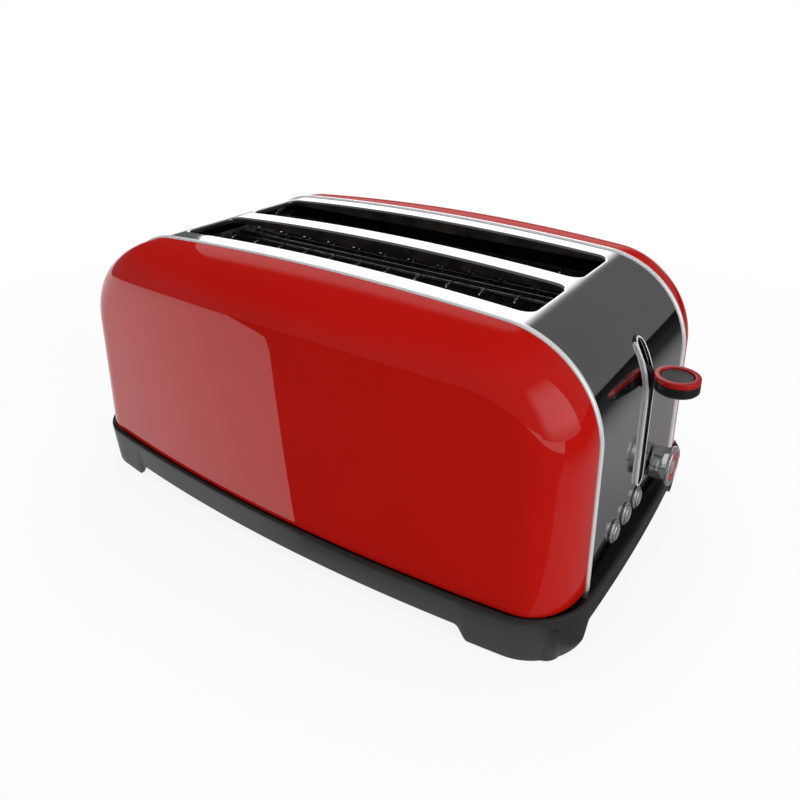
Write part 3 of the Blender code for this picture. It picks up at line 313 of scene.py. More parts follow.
class Value:
    """A number socket in a finish, so that shader maths reads as ordinary arithmetic."""
    __add__, __radd__ = maths("ADD")
    __sub__, __rsub__ = maths("SUBTRACT")
    __mul__, __rmul__ = maths("MULTIPLY")
    __truediv__, __rtruediv__ = maths("DIVIDE")
    __pow__, __rpow__ = maths("POWER")

    def __init__(self, finish, socket):
        self.finish, self.socket = finish, socket

    def sine(self):
        return self.finish.maths("SINE", self)

    def over(self, start, end):
        """0 at start and before it, 1 at end and past it, and smooth between them."""
        settings = {"interpolation_type": "SMOOTHSTEP"}
        return self.finish.node("ShaderNodeMapRange", settings, {0: self, 1: start, 2: end}).value()


class Made:
    """A node that has been added, with its outputs at hand."""

    def __init__(self, finish, node):
        self.finish, self.node = finish, node

    def out(self, key=0):
        return self.node.outputs[key]

    def value(self, key=0):
        return Value(self.finish, self.node.outputs[key])


class Finish:
    """A Principled material. Constants are set on its own sockets, and what varies reads Object coordinates."""

    def __init__(self, name, colour, roughness, metallic=0.0, **constants):
        self.material = bpy.data.materials.new(name)
        self.material.use_nodes = True
        self.material.diffuse_color = (*colour, 1)
        self.tree = self.material.node_tree
        self.shader = self.tree.nodes["Principled BSDF"]
        self.put({"Base Color": (*colour, 1), "Roughness": roughness, "Metallic": metallic})
        self.put({key.replace("_", " ").title().replace("Ior", "IOR"): value for key, value in constants.items()})
        self.place = self.node("ShaderNodeTexCoord").out("Object")

    def put(self, inputs, node=None):
        """Sets each input of a node, the shader's unless one is given, to a value or links it to a socket."""
        node = node or self.shader
        for key, item in inputs.items():
            item = item.socket if isinstance(item, Value) else item
            if isinstance(item, bpy.types.NodeSocket):
                self.tree.links.new(item, node.inputs[key])
            else:
                node.inputs[key].default_value = item

    def node(self, kind, settings=None, inputs=None):
        """Adds a node: its type, then its settings, then the values or links of its sockets."""
        node = self.tree.nodes.new(kind)
        for key, item in (settings or {}).items():
            setattr(node, key, item)
        self.put(inputs or {}, node)
        return Made(self, node)

    def maths(self, operation, *terms):
        return self.node("ShaderNodeMath", {"operation": operation}, dict(enumerate(terms))).value()

    def moved(self, centre=(0, 0, 0), scale=(1, 1, 1)):
        """Object coordinates about a centre, stretched."""
        shifted = self.node("ShaderNodeVectorMath", {"operation": "SUBTRACT"}, {0: self.place, 1: centre}).out()
        return self.node("ShaderNodeMapping", None, {"Vector": shifted, "Scale": scale}).out()

    def noise(self, scale, detail=3.0, rough=0.5, at=None):
        inputs = {"Vector": at or self.place, "Scale": scale, "Detail": detail, "Roughness": rough}
        return self.node("ShaderNodeTexNoise", None, inputs).value("Fac")

    def marks(self, scale, detail=3, rough=0.6):
        """Noise at a scale of its own along each axis, so that it draws out into strokes along the smallest."""
        return self.noise(1, detail, rough, self.moved(scale=scale))

    def cells(self, scale, at=None):
        return self.node("ShaderNodeTexVoronoi", None, {"Vector": at or self.place, "Scale": scale})

    def axes(self, at=None):
        """The three coordinates, or the three parts of another vector or colour, each as a value."""
        parts = self.node("ShaderNodeSeparateXYZ", None, {0: at or self.place})
        return parts.value(0), parts.value(1), parts.value(2)

    def mix(self, share, first, second):
        """A colour between two colours or colour sockets."""
        inputs = {0: share}
        for key, item in ((6, first), (7, second)):
            inputs[key] = item if isinstance(item, bpy.types.NodeSocket) else (*item, 1)
        return self.node("ShaderNodeMix", {"data_type": "RGBA"}, inputs).out(2)

    def bump(self, height, distance, strength=1.0):
        """Raises the surface by height times distance, in metres, and hands the material over."""
        inputs = {"Height": height, "Distance": distance, "Strength": strength}
        self.put({"Normal": self.node("ShaderNodeBump", None, inputs).out()})
        return self.material


def tint(colour, share):
    """A colour times share, up to full."""
    return tuple(min(c * share, 1) for c in colour)


def mirror_steel(steel):
    """Polished stainless sheet: a clear reflection, faint rolling grain along the strip and slight haze."""
    made = Finish("mirror_steel", steel, 0.06, 1.0)
    haze = made.noise(11, 4, 0.6).over(0.35, 0.75)
    made.put({"Base Color": made.mix(haze, steel, tint(steel, 0.94)),
              "Roughness": 0.045 + 0.03 * haze + 0.02 * made.marks((60, 2600, 60), 2, 0.5)})
    return made.bump(made.noise(5, 2, 0.4), 0.00012, 0.35)


def red_enamel(red):
    """Sprayed and stoved red enamel under clear lacquer, with a fine orange-peel and a little drift in depth. The
    coat fades out towards the top edge, where the cover turns under its trim: painted shade on its reflection there."""
    made = Finish("red_enamel", red, 0.5, 0.0, coat_roughness=0.02, coat_ior=1.55, specular_ior_level=0.0)
    drift = made.noise(8, 3, 0.5)
    flakes = made.cells(1700).value("Distance").over(0.0, 0.35)
    z = made.axes()[2]
    # painted shade: the coat weight drops to a fifth between 148 and 160 mm high, which dims the reflection on the
    # cover's top edge
    made.put({"Base Color": made.mix(drift, tint(red, 0.86), tint(red, 1.08)), "Roughness": 0.45 + 0.1 * flakes,
              "Coat Weight": (0.92 + 0.08 * drift) * (0.2 + 0.8 * z.over(0.160, 0.148))})
    return made.bump(made.noise(420, 2, 0.5), 0.00001, 0.15)


def slot_collar():
    """The mouth of the oven and the inside of the case: near-black steel, a painted shade, mottled at random in tone.
    """
    made = Finish("slot_collar", (0.02, 0.018, 0.017), 0.5, 0.0, specular_ior_level=0.3)
    shade_mottle = made.noise(70, 4, 0.6).over(0.35, 0.75)
    # painted shade: the colour stays nearly black, varied at random between two dark tones
    made.put({"Base Color": made.mix(shade_mottle, (0.010, 0.010, 0.010), (0.035, 0.028, 0.022)),
              "Roughness": 0.4 + 0.25 * shade_mottle})
    return made.bump(made.noise(900), 0.00003, 0.4)


def chrome(plate):
    """Bright plating with faint wiping marks."""
    made = Finish("chrome", plate, 0.05, 0.88)
    wiped = made.marks((90, 90, 700))
    made.put({"Base Color": made.mix(wiped, plate, tint(plate, 0.93)),
              "Roughness": 0.035 + 0.06 * wiped.over(0.45, 0.8)})
    return made.bump(made.noise(40, 2, 0.5), 0.00002, 0.3)


def satin_chrome(plate):
    """Plated strip with a soft brushed sheen, so that it stays bright all round."""
    made = Finish("satin_chrome", plate, 0.18, 0.4)
    brushed = made.marks((120, 1800, 120))
    made.put({"Base Color": made.mix(brushed, (0.95, 0.95, 0.96), plate), "Roughness": 0.14 + 0.1 * brushed})
    return made.bump(brushed, 0.000015, 0.3)


def moulded(name, colour, low, high, grain=2300, depth=0.00004, level=0.45):
    """Moulded plastic: a fine spark-eroded texture, slow drift in colour and gloss."""
    made = Finish(name, colour, low, 0.0, specular_ior_level=level)
    texture = made.noise(grain, 3, 0.6)
    drift = made.noise(14, 3, 0.5).over(0.3, 0.75)
    made.put({"Base Color": made.mix(drift, tint(colour, 0.85), tint(colour, 1.15)),
              "Roughness": low + (high - low) * (0.6 * drift + 0.4 * texture)})
    return made.bump(texture, depth, 0.5)


def pad_plastic():
    """The knob's inlay: soft-touch black with fine turned rings."""
    made = Finish("pad_plastic", (0.022, 0.022, 0.024), 0.42, 0.0, specular_ior_level=0.4)
    low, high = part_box("lever_knob_pad")
    x, y, z = made.axes(made.moved(tuple((low + high) / 2)))
    ring_pitch = 0.9 * MM
    rings = ((x * x + y * y) ** 0.5 * (FULL / ring_pitch)).sine()
    made.put({"Base Color": made.mix(0.5 + 0.5 * rings, (0.018, 0.018, 0.02), (0.035, 0.035, 0.038)),
              "Roughness": 0.38 + 0.1 * made.noise(300)})
    return made.bump(rings, 0.00005, 0.6)


def rubber():
    """Black rubber with dust in its pores."""
    made = Finish("rubber", (0.02, 0.02, 0.02), 0.85, 0.0, specular_ior_level=0.25)
    dust = made.noise(160, 4, 0.7).over(0.5, 0.8)
    made.put({"Base Color": made.mix(dust, (0.016, 0.016, 0.017), (0.06, 0.058, 0.055)),
              "Roughness": 0.78 + 0.15 * dust})
    return made.bump(made.noise(1500), 0.00005, 0.6)


def zinc_steel():
    """Galvanised sheet: crystal spangle, each cell with its own tone and gloss."""
    made = Finish("zinc_steel", (0.55, 0.56, 0.57), 0.38, 1.0)
    cells = made.cells(190)
    tone = made.axes(cells.out("Color"))[0]
    made.put({"Base Color": made.mix(tone, (0.42, 0.43, 0.45), (0.66, 0.67, 0.69)),
              "Roughness": 0.28 + 0.22 * tone + 0.05 * made.noise(60)})
    return made.bump(cells.value("Distance"), 0.00002, 0.3)


def reflector_sheet():
    """Brushed bright sheet that heat has browned in clouds."""
    made = Finish("reflector_sheet", (0.72, 0.72, 0.73), 0.25, 1.0)
    brushed = made.marks((30, 30, 2200))
    darkening = made.noise(18, 3, 0.5).over(0.4, 0.8)
    made.put({"Base Color": made.mix(darkening, (0.30, 0.30, 0.31), (0.16, 0.12, 0.09)),
              "Roughness": 0.2 + 0.18 * brushed})
    return made.bump(brushed, 0.00002, 0.4)


def mica():
    """Pressed mica flakes held nearly black, a painted shade of the slot's inside: plates that differ in tone, with
    black specks.
    """
    made = Finish("mica", (0.5, 0.43, 0.32), 0.5, 0.0, coat_roughness=0.3)
    plates = made.cells(260, made.moved(scale=(1, 1, 1.6)))
    tone = made.axes(plates.out("Color"))[1]
    specks = made.noise(900, 3, 0.7).over(0.62, 0.7)
    # painted shade: the plates' tones are held nearly black
    base = made.mix(tone, (0.014, 0.012, 0.010), (0.035, 0.030, 0.024))
    made.put({"Base Color": made.mix(specks * 0.7, base, (0.006, 0.005, 0.004)),
              "Roughness": 0.35 + 0.25 * tone, "Coat Weight": 0.1 * tone})
    return made.bump(plates.value("Distance"), 0.00006, 0.4)


def heater_ribbon():
    """Resistance ribbon under a dark oxide."""
    made = Finish("heater_ribbon", (0.34, 0.31, 0.29), 0.42, 1.0)
    oxide = made.noise(240, 4, 0.6).over(0.35, 0.7)
    made.put({"Base Color": made.mix(oxide, (0.20, 0.19, 0.18), (0.06, 0.05, 0.045)),
              "Roughness": 0.34 + 0.3 * oxide})
    return made.bump(oxide, 0.00003, 0.5)


def guide_wire():
    """Nickel-plated wire: bright at the slot's mouth and dark brown-grey lower down, a painted shade of the slot's
    depth.
    """
    made = Finish("guide_wire", (0.62, 0.61, 0.59), 0.2, 1.0)
    # painted shade: the wire darkens from 149 mm down to 128 mm high, varied at random
    darkening = made.axes()[2].over(0.149, 0.128) * (0.7 + 0.3 * made.noise(50, 3, 0.6).over(0.25, 0.7))
    made.put({"Base Color": made.mix(darkening, (0.85, 0.84, 0.82), (0.09, 0.075, 0.065)),
              "Roughness": 0.14 + 0.25 * darkening + 0.06 * made.noise(700)})
    return made.bump(made.marks((900, 900, 60), 2, 0.5), 0.00002, 0.4)


def plain_metal(name, light, dark, low, high, scale):
    """Bare metal with drift between two tones and fine drawing marks."""
    made = Finish(name, light, low, 1.0)
    drift = made.noise(scale, 4, 0.6).over(0.3, 0.7)
    marks = made.marks((140, 1500, 1500), 2, 0.5)
    made.put({"Base Color": made.mix(drift, light, dark),
              "Roughness": low + (high - low) * (0.6 * drift + 0.4 * marks)})
    return made.bump(marks, 0.00002, 0.4)


def copper_winding():
    """Turn upon turn of lacquered wire: ridges up the coil and a warm lacquer."""
    made = Finish("copper_winding", (0.62, 0.26, 0.11), 0.3, 1.0, coat_roughness=0.12)
    wire_pitch = 0.6 * MM
    ridge = (made.axes()[2] * (FULL / wire_pitch)).sine()
    made.put({"Base Color": made.mix(0.5 + 0.5 * ridge, (0.28, 0.09, 0.03), (0.74, 0.33, 0.14)),
              "Roughness": 0.25 + 0.15 * made.noise(500), "Coat Weight": 0.5 + 0.3 * made.noise(90)})
    return made.bump(ridge, 0.0002, 0.8)


def board_laminate():
    """Green lacquered circuit board: copper tracks under the lacquer and tinned pads."""
    made = Finish("board_laminate", (0.02, 0.16, 0.07), 0.32, 0.0, coat_roughness=0.1)
    upright = made.node("ShaderNodeMapping", None, {"Vector": made.place, "Rotation": (0, math.pi / 2, 0)}).out()
    bricks = made.node("ShaderNodeTexBrick", {"offset": 0.5}, {
        "Vector": upright, "Scale": 130, "Mortar Size": 0.03,
        "Color1": (0, 0, 0, 1), "Color2": (0, 0, 0, 1), "Mortar": (1, 1, 1, 1)})
    tracks = made.axes(bricks.out("Color"))[0]
    pads = (1 - made.cells(260).value("Distance").over(0.12, 0.2)) * made.noise(60).over(0.5, 0.6)
    lacquer = made.mix(tracks, (0.012, 0.11, 0.045), (0.03, 0.22, 0.09))
    made.put({"Base Color": made.mix(pads, lacquer, (0.62, 0.62, 0.6)), "Metallic": pads,
              "Roughness": 0.28 + 0.1 * made.noise(400), "Coat Weight": 0.6 * (1 - pads)})
    return made.bump(tracks, 0.00003, 0.4)


FINISHES = {}


def finish(slot):
    """The material for a slot of the record, or for one of the finishes that only the skin uses."""
    if not FINISHES:
        colours = bpy.context.scene.toaster_colours
        steel, red, accent, plate, plinth = (tuple(getattr(colours, key)) for key in
                                             ("steel", "enamel", "accent", "chrome", "plinth"))
        FINISHES.update({
            "mirror_steel": mirror_steel(steel),
            "red_enamel": red_enamel(red),
            "chrome": chrome(plate),
            "satin_chrome": satin_chrome(plate),
            "plinth_plastic": moulded("plinth_plastic", plinth, 0.36, 0.5, level=0.3),
            "black_plastic": moulded("black_plastic", (0.012, 0.012, 0.013), 0.2, 0.32, 900, 0.00001),
            "red_plastic": moulded("red_plastic", accent, 0.12, 0.2, 600, 0.00001, 0.5),
            "pad_plastic": pad_plastic(),
            "slot_collar": slot_collar(),
            "rubber": rubber(),
            "zinc_steel": zinc_steel(),
            "reflector": reflector_sheet(),
            "mica": mica(),
            "heater_ribbon": heater_ribbon(),
            "guide_wire": guide_wire(),
            "heat_blued": plain_metal("heat_blued", (0.10, 0.10, 0.11), (0.05, 0.045, 0.045), 0.4, 0.6, 60),
            "spring_steel": plain_metal("spring_steel", (0.5, 0.5, 0.52), (0.32, 0.31, 0.3), 0.22, 0.36, 300),
            "core_iron": plain_metal("core_iron", (0.36, 0.36, 0.37), (0.2, 0.17, 0.15), 0.35, 0.55, 220),
            "copper_wire": copper_winding(),
            "board_laminate": board_laminate(),
        })
    return FINISHES[slot]


def turned_piece(name, slot, body, node, outline, radii, centre, axis="X", arc=6):
    """A turned part for a frame node. The outline's corners are rounded by radii in mm, in arc steps each, and it runs
    once about the axis through the centre. One that ends where it began makes a ring."""
    profile = rounded(outline, np.multiply(radii, MM), arc)
    ring = outline[0] == outline[-1]
    grid = turned(profile[:-1] if ring else profile, centre, axis, bpy.context.scene.toaster_sizes.turns)
    Skin().add(grid, round_rows=ring, round_columns=True).piece(name, slot, body, node, sharp=40)


# ---- Settings that a user would change
class ToasterSizes(bpy.types.PropertyGroup):
    lip: FloatProperty(name="Slot lip", description="Radius of the rolled lip around a bread slot",
                       default=1.5 * MM, min=0.3 * MM, max=3 * MM, unit="LENGTH")
    sheet: FloatProperty(name="Sheet", description="Thickness of the steel of the wrap and covers",
                         default=0.8 * MM, min=0.4 * MM, max=2 * MM, unit="LENGTH")
    wire: FloatProperty(name="Wire radius", description="Radius of the bread guide and rack wires",
                        default=0.8 * MM, min=0.4 * MM, max=1.5 * MM, unit="LENGTH")
    bars: IntProperty(name="Bars", description="Upright wires in each bread guide", default=12, min=3, max=20)
    turns: IntProperty(name="Smoothness", description="Steps around the knobs", default=96, min=24, max=256)


class ToasterColours(bpy.types.PropertyGroup):
    enamel: FloatVectorProperty(name="Enamel", description="Colour of the front and rear covers", subtype="COLOR",
                                default=(0.455, 0.006, 0.003), min=0, max=1)
    accent: FloatVectorProperty(name="Accent", description="Colour of the rings on the lever and dial",
                                subtype="COLOR", default=(0.36, 0.008, 0.008), min=0, max=1)
    steel: FloatVectorProperty(name="Steel", description="Reflection colour of the polished centre", subtype="COLOR",
                               default=(0.60, 0.60, 0.61), min=0, max=1)
    chrome: FloatVectorProperty(name="Chrome", description="Reflection colour of the plated parts", subtype="COLOR",
                                default=(0.80, 0.81, 0.82), min=0, max=1)
    plinth: FloatVectorProperty(name="Plinth", description="Colour of the moulded base", subtype="COLOR",
                                default=(0.020, 0.0195, 0.020), min=0, max=1)


class ToasterStage(bpy.types.PropertyGroup):
    lens: FloatProperty(name="Lens", description="Focal length on a 36 mm sensor", default=33.85, min=10, max=200)
    shift: FloatProperty(name="Shift", description="Vertical shift of the view", default=-0.15, min=-1, max=1)
    overhead: FloatProperty(name="Overhead", description="Power of the overhead softbox in watts", default=9, min=0)
    front: FloatProperty(name="Front", description="Power of the front softbox in watts", default=6.5, min=0)
    side: FloatProperty(name="Side", description="Power of the softbox on the right in watts", default=9, min=0)
    floor: FloatVectorProperty(name="Floor", description="Colour of the floor", subtype="COLOR",
                               default=(0.86, 0.86, 0.86), min=0, max=1)


# ---- Stage
class TOASTER_OT_stage(bpy.types.Operator):
    """Floor, soft lights and camera"""
    bl_idname = "toaster.stage"
    bl_label = "Stage"

    def execute(self, context):
        settings = context.scene.toaster_stage
        context.scene.view_settings.view_transform = "Standard"
        self.world(context.scene)
        self.floor(settings)
        self.soft_light("overhead_softbox", (0.0, 0.05, 1.15), (0, 0, 0), (1.5, 1.1), settings.overhead)
        self.soft_light("front_softbox", (-0.9, -1.5, 1.0), (0, 0, 0.08), (0.9, 0.9), settings.front)
        self.soft_light("side_softbox", (1.5, -0.45, 0.5), (0.1, 0, 0.08), (0.8, 0.8), settings.side)
        up = spaced(-0.75, 4, 0.75)[:, None]
        self.softbox("rear_softbox", (spaced(-2.42, 20, -0.08), 1.7 - 0.447 * up, 0.95 + 0.894 * up),
                     lambda x, y, z: x.over(-0.10, -0.36) * z.over(1.62, 1.25), 1.72)
        self.softbox("right_softbox", (1.6, spaced(-1.3, 8, 0.75), spaced(0.01, 8, 2.0)[:, None]),
                     lambda x, y, z: y.over(-1.3, -0.5) * z.over(2.0, 1.0) * (0.3 + 0.7 * z.over(0, 0.4)), 1.25)
        self.flags()
        self.camera(context.scene, settings)
        return {"FINISHED"}

    def world(self, scene):
        """A dim grey room, which the camera sees as pure white."""
        world = bpy.data.worlds.new("soft_room")
        scene.world = world
        world.use_nodes = True
        tree = world.node_tree
        room = tree.nodes["Background"]
        room.inputs["Color"].default_value = (0.80, 0.80, 0.80, 1)
        room.inputs["Strength"].default_value = 0.18
        backdrop = tree.nodes.new("ShaderNodeBackground")
        backdrop.inputs["Color"].default_value = (1, 1, 1, 1)
        sight = tree.nodes.new("ShaderNodeLightPath")
        either = tree.nodes.new("ShaderNodeMixShader")
        tree.links.new(sight.outputs["Is Camera Ray"], either.inputs[0])
        tree.links.new(room.outputs[0], either.inputs[1])
        tree.links.new(backdrop.outputs[0], either.inputs[2])
        tree.links.new(either.outputs[0], tree.nodes["World Output"].inputs["Surface"])

    def floor(self, settings):
        """Pale paper that fades into the white backdrop as it runs away from the toaster."""
        paper = Finish("floor_paper", tuple(settings.floor), 0.7, 0.0, specular_ior_level=0.2)
        x, y, _ = paper.axes()
        away = 0.86 + 0.14 * ((x * x + y * y) ** 0.5).over(0.30, 0.9)
        paper.put({"Roughness": 0.65 + 0.1 * paper.noise(30)})
        paper.bump(paper.noise(400), 0.00002, 0.2)
        glow = paper.node("ShaderNodeEmission", None, {"Color": (1, 1, 1, 1), "Strength": 1.02}).out()
        both = paper.node("ShaderNodeMixShader", None, {0: away, 1: paper.shader.outputs[0], 2: glow}).out()
        paper.tree.links.new(both, paper.tree.nodes["Material Output"].inputs["Surface"])
        self.sheet("floor", spaced(-6, 12, 6), spaced(-6, 12, 6)[:, None], 0.0, paper.material)

    def flags(self):
        """Two dark studio flags laid on the floor. Only reflections see them, so they cast no shade."""
        front = Finish("front_flag", (0.06, 0.06, 0.06), 0.9, specular_ior_level=0.0)
        ys = spaced(-9, 20, -0.13)
        edge = (MIDDLE_X + 0.010 + (ys + 0.132) * 1.06)[:, None]
        limit = 0.62 + 0.5 * np.maximum(-ys[:, None] - 0.25, 0)
        share = spaced(0, 6, 1)
        card = self.sheet("front_flag", edge + (limit - edge) * share, ys[:, None], 0.001, front.material)
        end = Finish("end_flag", (0.14, 0.14, 0.145), 0.9, specular_ior_level=0.0)
        x, y, _ = end.axes()
        # painted shade: the end flag is grey near the toaster and near black further out, for the wrap's end to reflect
        shade = (x + 0.25 * y).over(0.22, 0.60)
        end.put({"Base Color": end.mix(shade, (0.27, 0.27, 0.275), (0.035, 0.035, 0.036))})
        side = self.sheet("end_flag", spaced(0.168, 10, 9), spaced(-0.13, 20, 9)[:, None], 0.001, end.material)
        for flag in (card, side):
            flag.visible_camera = flag.visible_shadow = flag.visible_diffuse = False

    def softbox(self, name, grid, edge, strength):
        """A glowing sheet. Its light falls to a tenth where edge, a function of x, y and z, goes to 0."""
        cloth = Finish(name + "_cloth", (0.8, 0.8, 0.8), 1.0, specular_ior_level=0.0)
        colour = cloth.mix(edge(*cloth.axes()), (0.1, 0.1, 0.1), (1, 1, 1))
        glow = cloth.node("ShaderNodeEmission", None, {"Color": colour, "Strength": strength}).out()
        cloth.tree.links.new(glow, cloth.tree.nodes["Material Output"].inputs["Surface"])
        self.sheet(name, *grid, cloth.material).visible_camera = False

    def sheet(self, name, xs, ys, height, material):
        """A sheet on a grid of xs by ys, facing up."""
        sheet = Skin().add(points(xs - MIDDLE_X, ys, height)).piece(name, material=material)
        if sheet.data.polygons[0].normal.z < 0:
            sheet.data.flip_normals()
        return sheet

    def soft_light(self, name, place, target, size, watts):
        """An area light turned towards its target. It lights surfaces but isn't seen in their gloss."""
        light = bpy.data.lights.new(name, "AREA")
        light.shape = "RECTANGLE"
        light.size, light.size_y = size
        light.energy = watts
        lamp = bpy.data.objects.new(name, light)
        way = np.asarray(target, float) - np.asarray(place, float)
        lamp.location = place
        lamp.rotation_euler = (math.acos(-way[2] / np.linalg.norm(way)), 0, math.atan2(way[0], -way[1]) + math.pi)
        lamp.visible_camera = lamp.visible_glossy = False
        bpy.context.scene.collection.objects.link(lamp)

    def camera(self, scene, settings):
        """Above the front right corner, turned 34.7 degrees from the front and looking down by 19.8."""
        lens = bpy.data.cameras.new("camera")
        lens.sensor_width = 36
        lens.lens = settings.lens
        lens.shift_y = settings.shift
        camera = bpy.data.objects.new("camera", lens)
        camera.location = (MIDDLE_X + 270.8 * MM, -373.9 * MM, 303.0 * MM)
        camera.rotation_euler = (math.radians(90 - 19.8), 0, math.radians(34.7))
        scene.collection.objects.link(camera)
        scene.camera = camera


# ---- Centre wrap
class TOASTER_OT_wrap(bpy.types.Operator):
    """The polished centre strip, with rolled lips around both bread slots"""
    bl_idname = "toaster.wrap"
    bl_label = "Centre wrap"

    half_slot, near, far, corner, collar_foot = 128 * MM, 8 * MM, 54 * MM, 7 * MM, 158 * MM
    panel_top, panel_foot = 142 * MM, 49.5 * MM
    lever_top, lever_foot, lever_half = 138 * MM, 51 * MM, 4 * MM
    shaft_hole, button_hole = 3.9 * MM, 5.4 * MM

    def execute(self, context):
        sizes = context.scene.toaster_sizes
        half_slot, near, far, corner = self.half_slot, self.near, self.far, self.corner
        rim = half_slot + 3 * MM
        side = spaced(0, 4, near, 4, near + corner, 4, far - corner, 10, HALF_WRAP)
        ys = np.concatenate([-side[:0:-1], side])
        skin = Skin()

        # plain strips: down the left, and the right shoulder to just above the lever's slot
        start = math.asin((rim - SHOULDER_X) / SHOULDER)
        stop = math.acos((self.panel_top - SHOULDER_Z) / SHOULDER)
        x, z = on_shoulder(np.linspace(start, np.pi / 2, 30))
        x = np.concatenate([x, np.full(4, HALF_LENGTH)])
        z = np.concatenate([z, np.linspace(SHOULDER_Z, WRAP_BOTTOM, 5)[1:]])
        skin.add(points(-x[:, None], ys, z[:, None]))
        x, z = on_shoulder(np.linspace(start, stop, 16))
        skin.add(points(x[:, None], ys, z[:, None]))

        # beside the lever's slot, below it and around it
        turn = on_shoulder(np.linspace(stop, np.pi / 2, 18))[1]
        zs = np.concatenate([turn, spaced(SHOULDER_Z, 6, 57 * MM, 4, self.panel_foot)[1:]])
        for part in (ys[ys <= -near + 1e-9], ys[ys >= near - 1e-9]):
            skin.add(points(end_reach(zs)[:, None], part, zs[:, None]))
        skin.add(points(HALF_LENGTH, ys, spaced(self.panel_foot, 3, WRAP_BOTTOM)[:, None]))
        flat, drop = around_hole(rectangle(ys[np.abs(ys) <= near + 1e-9], zs), (0, self.lever_foot + self.lever_half),
                                 (0, self.lever_top - self.lever_half), self.lever_half, 0.3 * MM, 3, 3)
        skin.add(points(end_reach(flat[..., 1]) - drop, flat[..., 0], flat[..., 1]), round_columns=True)

        # the two bread slots, each with a rolled lip and a collar turned straight down
        xs = spaced(-rim, 8, -half_slot + corner, 60, half_slot - corner, 8, rim)
        for sign in (-1, 1):
            inner, outer = sorted((sign * (near + corner), sign * (far - corner)))
            flat, drop = around_hole(rectangle(xs, sign * side), (-half_slot + corner, inner),
                                     (half_slot - corner, outer), corner, sizes.lip)
            z = top_height(flat[..., 0]) - drop
            fall = z[-1] + (self.collar_foot - z[-1]) * np.linspace(0, 1, 4)[1:, None]
            flat = np.concatenate([flat, np.broadcast_to(flat[-1], (3, *flat[-1].shape))])
            skin.add(points(flat[..., 0], flat[..., 1], np.concatenate([z, fall])), round_columns=True)

        holes = [("dial_knob", self.shaft_hole)] + [(f"button_{i}", self.button_hole) for i in (1, 2, 3)]
        # the inner face of the wrap takes the near-black slot_collar finish: painted shade inside the case
        wrap = skin.piece("wrap_skin", "mirror_steel", "housing", "body_wrap", wall=sizes.sheet,
                          outward=(0, 0, 1), cutters=[self.pin(*hole) for hole in holes],
                          lining=finish("slot_collar"))
        self.paint_mouth_shade(wrap, sizes.lip)
        return {"FINISHED"}

    def paint_mouth_shade(self, wrap, lip):
        """Gives the turned-in collars the near-black finish that the inner face has already: painted shade down in the
        slots.
        """
        mesh = wrap.data
        x, y, z = of_faces(mesh, "center").T
        x, y = np.abs(x - MIDDLE_X), np.abs(y)
        depth = top_height(np.minimum(x, self.half_slot)) - z
        in_mouth = ((x < self.half_slot + lip) & (y > self.near - lip) & (y < self.far + lip) & (depth > 0.7 * lip)
                    & (z > 150 * MM))
        linings = np.empty(len(mesh.polygons), dtype=np.int32)
        mesh.polygons.foreach_get("material_index", linings)
        mesh.polygons.foreach_set("material_index", np.maximum(linings, in_mouth))

    def pin(self, node, radius):
        """A closed pin through the right end, where a control passes."""
        (_, y, z), *_ = round_part(node)
        rod = turned([(radius, -6 * MM), (radius, 6 * MM)], (HALF_LENGTH, y, z), "X", 48)
        return Skin().add(capped(rod), round_columns=True).piece("hole_pin")


# ---- Covers
class TOASTER_OT_covers(bpy.types.Operator):
    """The two drawn red covers"""
    bl_idname = "toaster.covers"
    bl_label = "Covers"

    bow, edge, power = 13.5 * MM, 25 * MM, 2 / 2.3

    def execute(self, context):
        for name, side in (("front_cover", -1), ("rear_cover", 1)):
            self.cover(name, side, context.scene.toaster_sizes.sheet)
        return {"FINISHED"}

    def cover(self, name, side, sheet):
        """Around the edge, at angle t from the trim to the face, the outline moves in by edge (1 - cos(t)^e) and out by
        depth(x) sin(t)^e, with depth(x) = reach - bow (x / half length)^2. The face then falls plumb from it."""
        low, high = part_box(name)
        bottom = low[2]
        start, end = sorted((abs(low[1]), abs(high[1])))

        def depth(x):
            return end - start - self.bow * (x / HALF_LENGTH) ** 2

        t = np.linspace(0, np.pi / 2, 30)
        cosine, sine = np.maximum(np.cos(t), 0) ** self.power, np.sin(t) ** self.power
        x, z = body_outline(self.edge * (1 - cosine), bottom, 30, 28, 16)
        skin = Skin().add(points(x, side * (start + depth(x) * sine[:, None]), z))
        ends = 15
        top_x, top_z = x[-1, ends:-ends], z[-1, ends:-ends]
        fall = np.linspace(0, 1, ends + 1)[:, None]
        skin.add(points(top_x, side * (start + depth(top_x)), top_z + (bottom - top_z) * fall))
        # the cover's inner face takes the near-black slot_collar finish: painted shade inside the case
        skin.piece(name + "_skin", "red_enamel", "housing", name, wall=sheet, outward=(0, side, 0),
                   lining=finish("slot_collar"))


class TOASTER_OT_trims(bpy.types.Operator):
    """The chrome strips between the wrap and the covers"""
    bl_idname = "toaster.trims"
    bl_label = "Trim strips"

    def execute(self, context):
        for name, side in (("front_trim", -1), ("rear_trim", 1)):
            low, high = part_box(name)
            near, far = sorted((abs(low[1]), abs(high[1])))
            proud, depth = high[2] - TOP_Z, 3 * MM
            section = rounded([(near, depth - proud), (near, -proud), (far, -proud), (far, depth - proud)], 1.6 * MM)
            x, z = body_outline(section[:, 1], low[2], 40, 36, 4)
            ring = points(x, side * section[:, :1], z)
            Skin().add(capped(np.swapaxes(ring, 0, 1)), round_columns=True).piece(
                name + "_strip", "chrome", "housing", name, finish("satin_chrome"))
        return {"FINISHED"}


